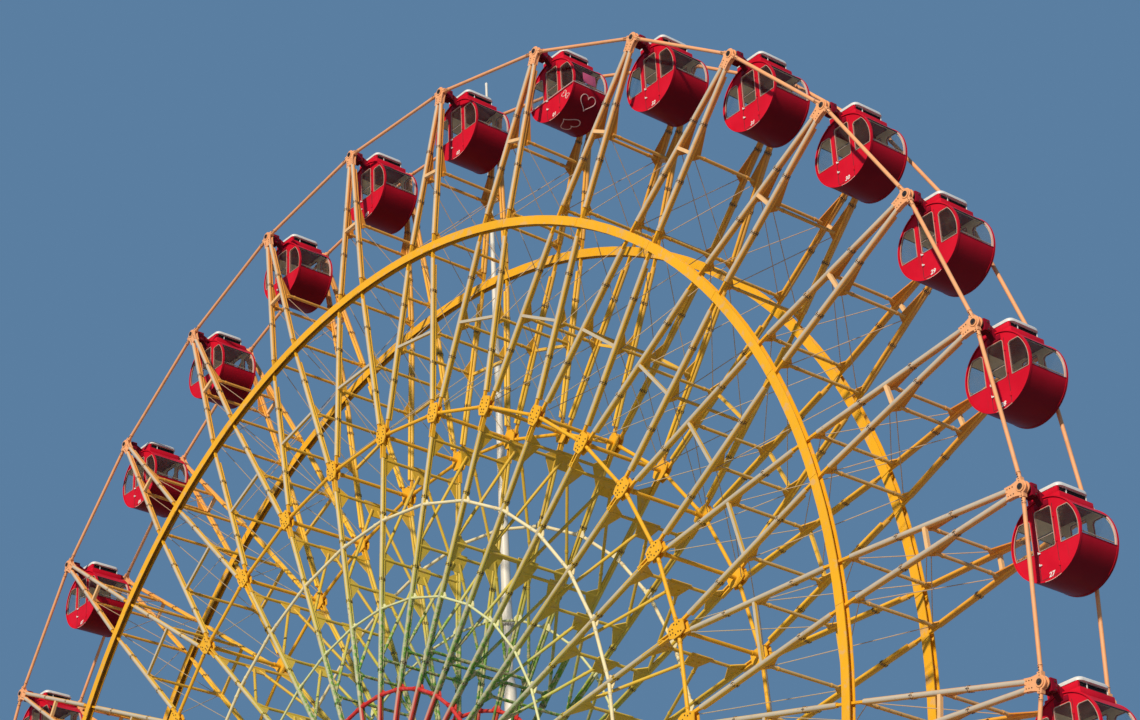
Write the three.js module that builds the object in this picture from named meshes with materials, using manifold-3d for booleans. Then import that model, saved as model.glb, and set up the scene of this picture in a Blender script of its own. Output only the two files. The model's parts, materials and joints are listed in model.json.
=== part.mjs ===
// A big wheel with thirty-two enclosed cabins that stay level as it turns.
// Half-size model, in millimetres: +Z up, the axle along Y, the front at -Y, the ground at Z = 0.
import * as THREE from 'three';
import { mergeVertices } from 'three/addons/utils/BufferGeometryUtils.js';
import Module from 'manifold-3d';

const wasm = await Module();
wasm.setup();

// Every size below is the real one, and real() brings it to the model's scale.
const modelScale = 0.5;
const real = (millimetres) => millimetres * modelScale;

// Gap left between meshes that touch, at the model's scale.
const jointGap = 0.3;

// The wheel
const cabinCount = 32;
const stepAngle = (2 * Math.PI) / cabinCount;
const restAngle = THREE.MathUtils.degToRad(8.16);
const hubHeight = real(28700);
const rimRadius = real(23000);
const rimHalfGap = real(1070);
const innerHalfGap = real(1370);
const arch = { radius: real(17620), width: real(250), halfGap: real(1375), depth: real(250), sides: 64 };
const gussetRadius = real(12320);
const legTip = { radius: real(22800), offset: real(85) };
const legFootOffset = real(130);

// Sections of the bars
const chordWidth = real(120);
const polygonWidth = real(125);
const legRadius = real(112);
const beamRadius = real(80);
const gussetBeamRadius = real(100);

// Blocks where bars meet
const pinBlock = { width: real(480), inward: real(420), outward: real(200), thickness: real(260) };
const gussetBlock = { width: real(520), length: real(620), thickness: real(260) };

// The hub and its axle
const flangeRadius = real(1750);
const spokeFoot = real(1575);
const flangeThickness = real(260);
const drumRadius = real(800);
const axleRadius = real(420);
const axleHalfLength = real(3980);
const axleSides = 16;

// The cabins, measured from the pin that they hang on
const cabin = {
  radius: real(985),
  halfLength: real(600),
  offsetY: real(90),
  drop: real(1095),
  endWall: real(60),
  sides: 16,
  room: { halfWidth: real(660), floor: real(-1820), sill: real(-1320), ceiling: real(-380) },
  roof: { x: real(520), y: real(540), low: real(-285), high: real(180) },
  pinRadius: real(75),
};

// The two towers
const bearing = {
  centreY: real(3400),
  halfLength: real(450),
  halfWidth: real(750),
  below: real(800),
  above: real(700),
};
const legFoot = { x: real(12400), y: real(7200) };
const legHeadX = real(300);
const legRise = real(10);
const beyond = real(40000);
const towerLeg = { topRadius: real(380), footRadius: real(520), sides: 8 };
const basePlate = { width: real(1700), thickness: real(120) };
const tieHeight = real(9000);
const tieRadius = real(230);

// The mast on the rear tower
const mast = {
  pedestalRadius: real(185),
  pedestalTop: real(5900),
  neckBottom: real(6350),
  neckRadius: real(115),
  flangeLevel: real(7900),
  flangeRadius: real(215),
  flangeHalfThickness: real(60),
  skirtTop: real(8500),
  skirtRadius: real(170),
  lowerRadius: real(150),
  topRadius: real(38),
  top: real(26860),
};

const axisY = new THREE.Vector3(0, 1, 0);

// Turns a closed geometry into a solid that can be joined and cut.
function solid(geometry) {
  geometry.deleteAttribute('normal');
  geometry.deleteAttribute('uv');
  const merged = mergeVertices(geometry, 1e-3);
  return new wasm.Manifold(new wasm.Mesh({
    numProp: 3,
    vertProperties: new Float32Array(merged.attributes.position.array),
    triVerts: new Uint32Array(merged.index.array),
  }));
}

function joined(solids) {
  return wasm.Manifold.union(solids);
}

function geometryOf(body) {
  const mesh = body.getMesh();
  const geometry = new THREE.BufferGeometry();
  geometry.setAttribute('position', new THREE.BufferAttribute(new Float32Array(mesh.vertProperties), 3));
  geometry.setIndex(new THREE.BufferAttribute(new Uint32Array(mesh.triVerts), 1));
  geometry.computeVertexNormals();
  return geometry;
}

// A straight three-sided bar from one point to another.
function bar(from, to, radius) {
  const along = to.clone().sub(from);
  const geometry = new THREE.CylinderGeometry(radius, radius, along.length(), 3);
  const middle = from.clone().add(to).multiplyScalar(0.5);
  geometry.applyQuaternion(new THREE.Quaternion().setFromUnitVectors(axisY, along.normalize()));
  geometry.translate(middle.x, middle.y, middle.z);
  return solid(geometry);
}

function box(low, high) {
  const geometry = new THREE.BoxGeometry(high[0] - low[0], high[1] - low[1], high[2] - low[2]);
  geometry.translate((low[0] + high[0]) / 2, (low[1] + high[1]) / 2, (low[2] + high[2]) / 2);
  return solid(geometry);
}

// A point of the wheel: u along the radius at an angle from the top, v square to it, y along the axle.
function wheelPoint(angle, u, v, y) {
  return new THREE.Vector3(
    u * Math.sin(angle) + v * Math.cos(angle),
    y,
    hubHeight + u * Math.cos(angle) - v * Math.sin(angle),
  );
}

const pinAngle = (index) => restAngle + index * stepAngle;

// The two legs under a pin run from beside the pin to the gussets on either side of it.
const halfStep = stepAngle / 2;
const legFootU = gussetRadius * Math.cos(halfStep) + legFootOffset * Math.sin(halfStep);
const legFootV = gussetRadius * Math.sin(halfStep) - legFootOffset * Math.cos(halfStep);

function legOffset(u) {
  const share = (legTip.radius - u) / (legTip.radius - legFootU);
  return legTip.offset + share * (legFootV - legTip.offset);
}

// The faces lean apart from the rim to the arch ring and are parallel inside it.
function faceOffset(u) {
  const share = Math.min(1, (rimRadius - u) / (rimRadius - arch.radius));
  return rimHalfGap + share * (innerHalfGap - rimHalfGap);
}

function legPoint(index, hand, side, u) {
  return wheelPoint(pinAngle(index), u, hand * legOffset(u), side * faceOffset(u));
}

// A body of revolution about the axle, from its radii and its places along Y.
function turnedAboutAxle(profile, sides, turn) {
  const geometry = new THREE.LatheGeometry(profile.map(([r, y]) => new THREE.Vector2(r, y)), sides);
  geometry.rotateY(turn);
  geometry.translate(0, 0, hubHeight);
  return solid(geometry);
}

// A ring of straight bars whose corners lie on a circle.
function ring(radius, width, centreY, depth, sides, turn) {
  const half = width / 2 / Math.cos(Math.PI / sides);
  const low = centreY - depth / 2;
  const high = centreY + depth / 2;
  return turnedAboutAxle([
    [radius - half, low],
    [radius + half, low],
    [radius + half, high],
    [radius - half, high],
    [radius - half, low],
  ], sides, turn);
}

function block(angle, radius, y, width, thickness, inward, outward) {
  const geometry = new THREE.BoxGeometry(width, thickness, inward + outward);
  geometry.translate(0, 0, (outward - inward) / 2 + radius);
  geometry.rotateY(angle);
  geometry.translate(0, y, hubHeight);
  return solid(geometry);
}

function archRing(side, extra) {
  return ring(
    arch.radius,
    arch.width + 2 * extra,
    side * arch.halfGap,
    arch.depth + 2 * extra,
    arch.sides,
    pinAngle(0),
  );
}

// One face of the rim: the ring of chords, the pin blocks, and the legs down to the arch ring.
function rim(side) {
  const parts = [ring(rimRadius, chordWidth, side * rimHalfGap, chordWidth, cabinCount, pinAngle(0))];
  for (let index = 0; index < cabinCount; index += 1) {
    const y = side * rimHalfGap;
    const { width, thickness, inward, outward } = pinBlock;
    parts.push(block(pinAngle(index), rimRadius, y, width, thickness, inward, outward));
    for (const hand of [-1, 1]) {
      const foot = legPoint(index, hand, side, arch.radius);
      const tip = legPoint(index, hand, side, legTip.radius);
      parts.push(bar(foot, tip, legRadius));
    }
  }
  return joined(parts).subtract(archRing(side, jointGap));
}

// Both arch rings, and the beams between them.
function archCage() {
  const parts = [archRing(-1, 0), archRing(1, 0)];
  for (let index = 0; index < cabinCount; index += 1) {
    const front = wheelPoint(pinAngle(index), arch.radius, 0, -arch.halfGap);
    const back = wheelPoint(pinAngle(index), arch.radius, 0, arch.halfGap);
    parts.push(bar(front, back, beamRadius));
  }
  return joined(parts);
}

// One inner face: the legs from the arch ring to the gussets, the ring of gussets, and the spokes.
function spokes(side) {
  const y = side * innerHalfGap;
  const parts = [ring(gussetRadius, polygonWidth, y, polygonWidth, cabinCount, pinAngle(0.5))];
  for (let index = 0; index < cabinCount; index += 1) {
    const middle = pinAngle(index + 0.5);
    const { width, length, thickness } = gussetBlock;
    parts.push(block(middle, gussetRadius, y, width, thickness, length / 2, length / 2));
    parts.push(bar(wheelPoint(middle, spokeFoot, 0, y), wheelPoint(middle, gussetRadius, 0, y), legRadius));
    for (const [pin, hand] of [[index, 1], [index + 1, -1]]) {
      parts.push(bar(legPoint(pin, hand, side, legFootU), legPoint(pin, hand, side, arch.radius), legRadius));
    }
  }
  return joined(parts).subtract(archRing(side, jointGap)).subtract(hub(jointGap));
}

// The beams that cross from the back face to the front one, part of the back face.
function backSpokes() {
  const parts = [spokes(1)];
  const reach = innerHalfGap - gussetBlock.thickness / 2 - jointGap;
  for (let index = 0; index < cabinCount; index += 1) {
    const middle = pinAngle(index + 0.5);
    const front = wheelPoint(middle, gussetRadius, 0, -reach);
    const back = wheelPoint(middle, gussetRadius, 0, innerHalfGap);
    parts.push(bar(front, back, gussetBeamRadius));
  }
  return joined(parts);
}

function hub(extra) {
  const outer = innerHalfGap + flangeThickness / 2 + extra;
  const inner = innerHalfGap - flangeThickness / 2 - extra;
  const edge = (flangeRadius + extra) / Math.cos(halfStep);
  return turnedAboutAxle([
    [0, -outer],
    [edge, -outer],
    [edge, -inner],
    [drumRadius, -inner],
    [drumRadius, inner],
    [edge, inner],
    [edge, outer],
    [0, outer],
  ], cabinCount, pinAngle(0));
}

function axle(side) {
  const start = innerHalfGap + flangeThickness / 2 + jointGap;
  const profile = side > 0
    ? [[0, start], [axleRadius, start], [axleRadius, axleHalfLength], [0, axleHalfLength]]
    : [[0, -axleHalfLength], [axleRadius, -axleHalfLength], [axleRadius, -start], [0, -start]];
  return turnedAboutAxle(profile, axleSides, 0);
}

// A prism with its flats square to the axes, its axis along Y, centred at a height.
function barrel(flatRadius, halfLength, centreZ) {
  const radius = flatRadius / Math.cos(Math.PI / cabin.sides);
  const geometry = new THREE.CylinderGeometry(radius, radius, 2 * halfLength, cabin.sides);
  geometry.rotateY(Math.PI / cabin.sides);
  geometry.translate(0, 0, centreZ);
  return solid(geometry);
}

// A cabin about its own pin: the barrel and its raised roof, a room between the two benches
// along its sides, and a window through each end of the room.
function cabinShell() {
  const { radius, halfLength, endWall, room, roof } = cabin;
  const inside = box(
    [-room.halfWidth, endWall - halfLength, room.floor],
    [room.halfWidth, halfLength - endWall, room.ceiling],
  );
  const windows = box([-room.halfWidth, -radius, room.sill], [room.halfWidth, radius, room.ceiling]);
  return barrel(radius, halfLength, -cabin.drop)
    .add(box([-roof.x, -roof.y, roof.low], [roof.x, roof.y, roof.high]))
    .subtract(inside.add(windows))
    .translate([0, cabin.offsetY, 0]);
}

// The pin runs from block to block through the roof, and its ends stand face to face with the blocks.
function cabinPin() {
  const reach = rimHalfGap - pinBlock.thickness / 2 - jointGap;
  return solid(new THREE.CylinderGeometry(cabin.pinRadius, cabin.pinRadius, 2 * reach, 4));
}

const cabinGeometry = geometryOf(cabinShell().add(cabinPin()));

// A tower leg, from its foot up to the bearing block.
function legSolid(sideX, sideY, extra) {
  const foot = new THREE.Vector3(sideX * legFoot.x, sideY * legFoot.y, 0);
  const head = new THREE.Vector3(sideX * legHeadX, sideY * bearing.centreY, hubHeight);
  const along = head.clone().sub(foot);
  const length = along.length();
  const geometry = new THREE.CylinderGeometry(
    towerLeg.topRadius + extra,
    towerLeg.footRadius + extra,
    length,
    towerLeg.sides,
  );
  geometry.translate(0, length / 2, 0);
  geometry.applyQuaternion(new THREE.Quaternion().setFromUnitVectors(axisY, along.normalize()));
  geometry.translate(foot.x, foot.y, foot.z);
  return solid(geometry);
}

function bearingBox(side, extra) {
  const y = side * bearing.centreY;
  const halfX = bearing.halfWidth + extra;
  const halfY = bearing.halfLength + extra;
  return box(
    [-halfX, y - halfY, hubHeight - bearing.below - extra],
    [halfX, y + halfY, hubHeight + bearing.above + extra],
  );
}

function bearingBlock(side) {
  const boreRadius = axleRadius / Math.cos(Math.PI / axleSides) + jointGap;
  const bore = turnedAboutAxle([
    [0, -2 * axleHalfLength],
    [boreRadius, -2 * axleHalfLength],
    [boreRadius, 2 * axleHalfLength],
    [0, 2 * axleHalfLength],
  ], axleSides, Math.PI / axleSides);
  return bearingBox(side, 0).subtract(bore);
}

// Each leg stands on its own base plate, keeps to its own half, and is cut level just above the
// underside of the bearing, beside which it ends.
function towerLegNode(sideX, sideY) {
  const halfSpace = sideX > 0
    ? box([jointGap / 2, -beyond, 0], [beyond, beyond, beyond])
    : box([-beyond, -beyond, 0], [-jointGap / 2, beyond, beyond]);
  const levelCut = box(
    [-beyond, -beyond, hubHeight - bearing.below + legRise],
    [beyond, beyond, beyond],
  );
  const plate = box(
    [sideX * legFoot.x - basePlate.width / 2, sideY * legFoot.y - basePlate.width / 2, 0],
    [sideX * legFoot.x + basePlate.width / 2, sideY * legFoot.y + basePlate.width / 2, basePlate.thickness],
  );
  return legSolid(sideX, sideY, 0)
    .intersect(halfSpace)
    .subtract(bearingBox(sideY, jointGap))
    .subtract(levelCut)
    .add(plate);
}

function towerTie(side) {
  const share = tieHeight / hubHeight;
  const x = legFoot.x + share * (legHeadX - legFoot.x);
  const y = side * (legFoot.y + share * (bearing.centreY - legFoot.y));
  const geometry = new THREE.CylinderGeometry(tieRadius, tieRadius, 2 * x, 6);
  geometry.rotateZ(Math.PI / 2);
  geometry.translate(0, y, tieHeight);
  return solid(geometry)
    .subtract(legSolid(-1, side, jointGap))
    .subtract(legSolid(1, side, jointGap));
}

function mastSolid() {
  const foot = hubHeight + bearing.above + jointGap;
  const profile = [
    [0, foot],
    [mast.pedestalRadius, foot],
    [mast.pedestalRadius, hubHeight + mast.pedestalTop],
    [mast.neckRadius, hubHeight + mast.neckBottom],
    [mast.neckRadius, hubHeight + mast.flangeLevel - mast.flangeHalfThickness],
    [mast.flangeRadius, hubHeight + mast.flangeLevel - mast.flangeHalfThickness],
    [mast.flangeRadius, hubHeight + mast.flangeLevel + mast.flangeHalfThickness],
    [mast.skirtRadius, hubHeight + mast.flangeLevel + mast.flangeHalfThickness],
    [mast.lowerRadius, hubHeight + mast.skirtTop],
    [mast.topRadius, hubHeight + mast.top],
    [0, hubHeight + mast.top],
  ];
  const geometry = new THREE.LatheGeometry(profile.map(([r, z]) => new THREE.Vector2(r, z)), 8);
  geometry.rotateX(Math.PI / 2);
  geometry.translate(0, bearing.centreY, 0);
  return solid(geometry);
}

// Finishes
function finish(color, roughness, metalness) {
  return new THREE.MeshStandardMaterial({ color, roughness, metalness });
}

const rimFinish = finish('#e8905a', 0.55, 0.1);
const trussFinish = finish('#d9a02c', 0.55, 0.1);
const hubFinish = finish('#b83a30', 0.55, 0.1);
const steelFinish = finish('#8c8f92', 0.4, 0.8);
const towerFinish = finish('#e9e6de', 0.6, 0.05);
const cabinFinish = finish('#c8152a', 0.35, 0.05);

const wheel = new THREE.Group();

function place(name, geometry, material, position) {
  const mesh = new THREE.Mesh(geometry, material);
  mesh.name = name;
  if (position) mesh.position.copy(position);
  wheel.add(mesh);
}

place('front_rim', geometryOf(rim(-1)), rimFinish);
place('back_rim', geometryOf(rim(1)), rimFinish);
place('arch_rings', geometryOf(archCage()), trussFinish);
place('front_spokes', geometryOf(spokes(-1)), trussFinish);
place('back_spokes', geometryOf(backSpokes()), trussFinish);
place('hub', geometryOf(hub(0)), hubFinish);
place('front_axle', geometryOf(axle(-1)), steelFinish);
place('rear_axle', geometryOf(axle(1)), steelFinish);
for (let index = 0; index < cabinCount; index += 1) {
  const number = String((cabinCount + 2 - index) % cabinCount || cabinCount).padStart(2, '0');
  const pin = wheelPoint(pinAngle(index), rimRadius, 0, 0);
  place(`cabin_${number}`, cabinGeometry, cabinFinish, pin);
}
for (const [name, side] of [['front', -1], ['rear', 1]]) {
  place(`${name}_bearing`, geometryOf(bearingBlock(side)), towerFinish);
  place(`${name}_left_leg`, geometryOf(towerLegNode(-1, side)), towerFinish);
  place(`${name}_right_leg`, geometryOf(towerLegNode(1, side)), towerFinish);
  place(`${name}_tie`, geometryOf(towerTie(side)), towerFinish);
}
place('mast', geometryOf(mastSolid()), towerFinish);

export default wheel;
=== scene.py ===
import json
import math
import bmesh
import bpy
from mathutils import Matrix, Vector


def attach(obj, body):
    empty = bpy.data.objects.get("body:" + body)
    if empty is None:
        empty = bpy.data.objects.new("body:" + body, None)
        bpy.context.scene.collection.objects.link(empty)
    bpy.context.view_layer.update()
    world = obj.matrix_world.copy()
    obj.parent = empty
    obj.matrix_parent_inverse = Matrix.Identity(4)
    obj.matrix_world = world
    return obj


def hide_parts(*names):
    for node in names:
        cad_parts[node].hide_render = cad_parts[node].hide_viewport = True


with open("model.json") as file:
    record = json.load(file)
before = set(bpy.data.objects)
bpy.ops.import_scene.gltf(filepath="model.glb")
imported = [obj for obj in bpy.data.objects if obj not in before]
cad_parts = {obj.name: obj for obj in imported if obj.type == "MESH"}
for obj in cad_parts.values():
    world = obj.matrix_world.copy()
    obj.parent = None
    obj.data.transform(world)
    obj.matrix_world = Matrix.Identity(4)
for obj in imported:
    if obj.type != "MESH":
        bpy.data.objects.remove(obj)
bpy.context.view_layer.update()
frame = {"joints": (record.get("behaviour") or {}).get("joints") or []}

# Lengths are real metres: the wheel's about the hub, a cabin's about its pin, and the tower's above the ground.
# The functions that finish a piece bring it to the half-size model.
modelScale = 0.5
pivots = {joint["child"]: Vector(joint["pos_m"]) for joint in frame["joints"]}
hubPlace = pivots["wheel"]
hubHeight = hubPlace.z / modelScale
cabinBodies = sorted(name for name in pivots if name.startswith("cabin_"))
pinCount = len(cabinBodies)
stepAngle = 2 * math.pi / pinCount
firstPin = pivots[cabinBodies[0]] - hubPlace
rimRadius = firstPin.length / modelScale
restAngle = math.atan2(firstPin.x, firstPin.z)
print("frame loaded:", pinCount, "cabins")


# Shader tools
class Wire:
    # one socket of a node tree; sums and products of wires add their Math nodes
    def __init__(self, tree, socket):
        self.tree = tree
        self.socket = socket

    def combine(self, operation, first, second):
        return addNode(self.tree, "ShaderNodeMath", {"operation": operation}, {0: first, 1: second})

    def __add__(self, other):
        return self.combine("ADD", self, other)

    def __radd__(self, other):
        return self.combine("ADD", other, self)

    def __sub__(self, other):
        return self.combine("SUBTRACT", self, other)

    def __rsub__(self, other):
        return self.combine("SUBTRACT", other, self)

    def __mul__(self, other):
        return self.combine("MULTIPLY", self, other)

    def __rmul__(self, other):
        return self.combine("MULTIPLY", other, self)

    def __truediv__(self, other):
        return self.combine("DIVIDE", self, other)

    def __rtruediv__(self, other):
        return self.combine("DIVIDE", other, self)

    def __pow__(self, other):
        return self.combine("POWER", self, other)

    def __rpow__(self, other):
        return self.combine("POWER", other, self)


# Adds a node and gives back one of its outputs, or every one of them
def addNode(tree, kind, settings=None, values=None, output=0):
    node = tree.nodes.new(kind)
    for name, value in (settings or {}).items():
        if name == "stops":
            ramp = node.color_ramp
            while len(ramp.elements) < len(value):
                ramp.elements.new(0.5)
            for element, (place, colour) in zip(ramp.elements, value):
                element.position = place
                element.color = (*colour, 1)
        else:
            setattr(node, name, value)
    for name, value in (values or {}).items():
        if isinstance(value, Wire):
            tree.links.new(value.socket, node.inputs[name])
        else:
            node.inputs[name].default_value = value
    if output == "all":
        return [Wire(tree, socket) for socket in node.outputs]
    return Wire(tree, node.outputs[output])


def mathNode(operation, *wires):
    return addNode(wires[0].tree, "ShaderNodeMath", {"operation": operation}, dict(enumerate(wires)))


def smooth(wire, low, high):
    return addNode(wire.tree, "ShaderNodeMapRange", {"interpolation_type": "SMOOTHSTEP"},
                   {"Value": wire, "From Min": low, "From Max": high})


def asColour(value):
    return value if isinstance(value, Wire) else (*value, 1)


# A Mix node's two colours are its inputs 6 and 7, and the mixed colour is its output 2
def mix(factor, first, second):
    return addNode(factor.tree, "ShaderNodeMix", {"data_type": "RGBA"},
                   {0: factor, 6: asColour(first), 7: asColour(second)}, 2)


def multiply(first, second):
    return addNode(first.tree, "ShaderNodeMix", {"data_type": "RGBA", "blend_type": "MULTIPLY"},
                   {0: 1.0, 6: first, 7: second}, 2)


def noise(vector, scale, detail=4, roughness=0.55):
    return addNode(vector.tree, "ShaderNodeTexNoise", {},
                   {"Vector": vector, "Scale": scale, "Detail": detail, "Roughness": roughness})


def stretch(vector, scale):
    return addNode(vector.tree, "ShaderNodeMapping", {}, {"Vector": vector, "Scale": scale})


def bump(height, strength, distance):
    return addNode(height.tree, "ShaderNodeBump", {}, {"Height": height, "Strength": strength, "Distance": distance})


def splitAxes(vector):
    return addNode(vector.tree, "ShaderNodeSeparateXYZ", {}, {0: vector}, "all")


# The three axes of the piece's own normal
def normalAxes(tree):
    return splitAxes(addNode(tree, "ShaderNodeTexCoord", output=1))


# A new material, its shader, and the piece's own coordinates
def newMaterial(name):
    material = bpy.data.materials.new(name)
    material.use_nodes = True
    tree = material.node_tree
    return material, tree.nodes["Principled BSDF"], addNode(tree, "ShaderNodeTexCoord", output=3)


def plug(shader, **wires):
    names = {"colour": "Base Color", "roughness": "Roughness", "metallic": "Metallic", "alpha": "Alpha",
             "normal": "Normal", "coat": "Coat Weight"}
    for name, wire in wires.items():
        wire.tree.links.new(wire.socket, shader.inputs[names[name]])


# Radius from the axle, a vector that runs along the spokes for streaks, and how far a side faces out or to the rim
def wheelCoordinates(place):
    x, y, z = splitAxes(place)
    across, along, up = x * (1 / modelScale), y * (1 / modelScale), (z - hubPlace.z) * (1 / modelScale)
    radius = (across * across + up * up) ** 0.5
    around = mathNode("ARCTAN2", across, up) * radius
    streak = addNode(place.tree, "ShaderNodeCombineXYZ", {}, {0: around * 3.0, 1: along * 3.0, 2: radius * 0.22})
    normal = normalAxes(place.tree)
    facing = {"outward": mathNode("SIGN", along) * normal[1],
              "rimward": (normal[0] * across + normal[2] * up) * radius ** -1}
    return radius, streak, facing


paints = {
    "span": 24.0,  # the radius that a ramp ends at
    "rust": (0.13, 0.045, 0.018),
    "grime": (0.17, 0.12, 0.06),
    "bare": (0.52, 0.47, 0.38),
    "chalk": (0.50, 0.465, 0.385),
    "patch": (0.72, 0.50, 0.34),
    # the dark brown of the painted shade on the sides that face the hub
    "inward": (0.17, 0.085, 0.014),
    "chip": (0.56, 0.50, 0.28),
    "jointRadii": (21.05, 19.45, 18.1, 16.2, 13.9, 11.6, 9.6, 7.6),
    "specular": 0.22,
}


# A weathered paint whose colour changes from the hub to the rim. stops: (radius, colour)
# chalky: how far the sides that face the given way have faded; patchy: how far bare patches show
# inward: how dark the painted shade is on the sides that face the hub; chipped: how far the green near the hub has
# flaked
def wheelPaint(name, stops, faded, rusty, roughness, jointRust=True, chalky=0.0, side="outward", patchy=0.0,
               inward=0.0, chipped=0.0):
    material, shader, place = newMaterial(name)
    tree = place.tree
    radius, streak, facing = wheelCoordinates(place)
    ramp = [(r / paints["span"], colour) for r, colour in stops]
    paint = addNode(tree, "ShaderNodeValToRGB", {"stops": ramp}, {0: radius / paints["span"]})
    broad = noise(place, 0.9, 3)
    patches = noise(place, 7.0, 5, 0.6)
    streaks = noise(streak, 2.2, 4, 0.6)
    fine = noise(place, 60.0, 4, 0.7)
    paint = mix(smooth(streaks, 0.42, 0.68) * faded, paint, paints["bare"])
    if chipped:
        flakes = smooth(noise(place, 13.0, 6, 0.75), 0.47, 0.53) * smooth(radius, 8.2, 6.6)
        paint = mix(flakes * smooth(radius, 4.3, 4.9) * chipped, paint, paints["chip"])
    if chalky:
        worn = (smooth(streaks, 0.2, 0.5) * 0.3 + 0.7) * (smooth(radius, 5.5, 12.0) * 0.35 + 0.65)
        paint = mix(smooth(facing[side], 0.55, 0.85) * worn * chalky, paint, paints["chalk"])
    if patchy:
        paint = mix(smooth(patches, 0.56, 0.66) * patchy, paint, paints["patch"])
    # Sides that face the hub are darkened: painted shade
    if inward:
        paintedHubShade = smooth(facing["rimward"], -0.55, -0.85) * (smooth(streaks, 0.7, 0.3) * 0.15 + 0.85)
        paint = mix(paintedHubShade * inward, paint, paints["inward"])
    paint = mix(smooth(patches, 0.50, 0.72) * (0.35 * faded + 0.12), paint, paints["grime"])
    shade = addNode(tree, "ShaderNodeMapRange", {}, {"Value": broad, "To Min": 0.86, "To Max": 1.12})
    paint = multiply(paint, addNode(tree, "ShaderNodeCombineColor", {}, {0: shade, 1: shade, 2: shade}))
    spots = noise(place, 26.0, 6, 0.7)
    if jointRust:
        near = 0
        for ring in paints["jointRadii"]:
            near = smooth(mathNode("ABSOLUTE", radius - ring), 0.45, 0.0) + near
        spots = spots + near * 0.10
    rust = smooth(spots, 0.66 - 0.06 * rusty, 0.74 - 0.04 * rusty)
    paint = mix(rust * min(1, 0.4 + rusty), paint, paints["rust"])
    plug(shader, colour=paint, roughness=smooth(fine, 0.3, 0.8) * 0.16 + rust * 0.3 + (roughness - 0.06),
         normal=bump(fine * 0.35 + rust * 0.6 + patches * 0.3, 0.25, 0.004))
    shader.inputs["Specular IOR Level"].default_value = paints["specular"]
    return material


# From the hub out, the wheel is red, green, yellow, gold and peach
def buildPaints():
    peach = (0.84, 0.36, 0.14)
    gold = (0.86, 0.42, 0.012)
    leg = [(11.0, (0.80, 0.52, 0.07)), (14.5, (0.80, 0.48, 0.05)), (17.5, (0.80, 0.42, 0.06)),
           (20.5, (0.80, 0.37, 0.08)), (23.0, (0.82, 0.37, 0.13))]
    legRear = [(12.0, (0.92, 0.55, 0.035)), (17.5, (0.92, 0.48, 0.035)), (20.5, (0.90, 0.40, 0.05)),
               (23.0, (0.86, 0.38, 0.11))]
    brace = [(12.0, (0.74, 0.43, 0.025)), (17.5, (0.74, 0.35, 0.022)), (20.0, (0.68, 0.25, 0.018)),
             (21.6, (0.68, 0.24, 0.03)), (23.0, peach)]
    beam = [(12.0, (0.74, 0.45, 0.035)), (17.5, (0.76, 0.40, 0.03)), (20.0, (0.76, 0.36, 0.05)), (23.0, peach)]
    rod = [(12.0, (0.50, 0.42, 0.26)), (18.0, (0.54, 0.38, 0.22)), (23.0, (0.60, 0.36, 0.24))]
    spoke = [(3.6, (0.58, 0.04, 0.03)), (4.3, (0.58, 0.06, 0.04)), (4.7, (0.10, 0.30, 0.03)),
             (6.6, (0.16, 0.36, 0.04)), (7.4, (0.50, 0.48, 0.08)), (9.0, (0.70, 0.52, 0.08)),
             (11.6, (0.78, 0.52, 0.07))]
    inner = [(3.6, (0.52, 0.03, 0.02)), (4.4, (0.05, 0.22, 0.03)), (6.2, (0.12, 0.34, 0.03)),
             (7.0, (0.50, 0.52, 0.06)), (8.0, (0.66, 0.50, 0.06)), (11.8, (0.72, 0.43, 0.028))]
    cream = [(4.0, (0.60, 0.03, 0.025)), (5.4, (0.60, 0.03, 0.025)), (5.8, (0.34, 0.50, 0.06)),
             (6.7, (0.55, 0.66, 0.20)), (7.2, (0.78, 0.74, 0.46)), (10.5, (0.82, 0.70, 0.40))]
    return {
        "rim": wheelPaint("rimPeachPaint", [(20.0, peach), (24.0, (0.86, 0.40, 0.18))], 0.15, 0.15, 0.5, False),
        "leg": wheelPaint("legFadedPaint", leg, 0.10, 0.1, 0.45, chalky=0.9),
        "brace": wheelPaint("bracketOchrePaint", brace, 0.02, 0.2, 0.5),
        "beam": wheelPaint("crossBeamPaint", beam, 0.06, 0.2, 0.5, chalky=0.35, side="rimward"),
        "legRear": wheelPaint("legRearGoldPaint", legRear, 0.03, 0.15, 0.5),
        "rod": wheelPaint("rodFadedPaint", rod, 0.2, 0.1, 0.5, False),
        # the arches carry painted shade on the sides that face the hub
        "arch": wheelPaint("archGoldPaint", [(17.0, gold), (18.5, (0.88, 0.45, 0.015))], 0.05, 0.1, 0.42, False,
                           patchy=0.35, inward=0.9),
        "gusset": wheelPaint("gussetGoldPaint", [(11.0, (0.86, 0.48, 0.03)), (13.0, gold)], 0.05, 0.25, 0.48, False),
        "bar": wheelPaint("legBarCreamPaint", [(19.0, (0.84, 0.50, 0.20)), (21.0, (0.86, 0.52, 0.24))],
                          0.15, 0.2, 0.5),
        "spoke": wheelPaint("spokePaint", spoke, 0.12, 0.15, 0.45, chalky=0.88, chipped=0.75),
        "inner": wheelPaint("innerBracePaint", inner, 0.10, 0.05, 0.5, False, patchy=0.25, chipped=0.85),
        "cream": wheelPaint("innerRingPaint", cream, 0.08, 0.2, 0.5, False, patchy=0.3),
    }


def steelMaterial():
    material, shader, place = newMaterial("boltSteel")
    grain = noise(place, 90.0, 5, 0.7)
    rust = smooth(noise(place, 18.0, 5, 0.7), 0.45, 0.65)
    plug(shader, colour=mix(rust * 0.7, (0.075, 0.065, 0.06), (0.11, 0.05, 0.03)),
         metallic=0.75 - rust * 0.6, roughness=grain * 0.3 + 0.3, normal=bump(grain, 0.2, 0.002))
    return material


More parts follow.
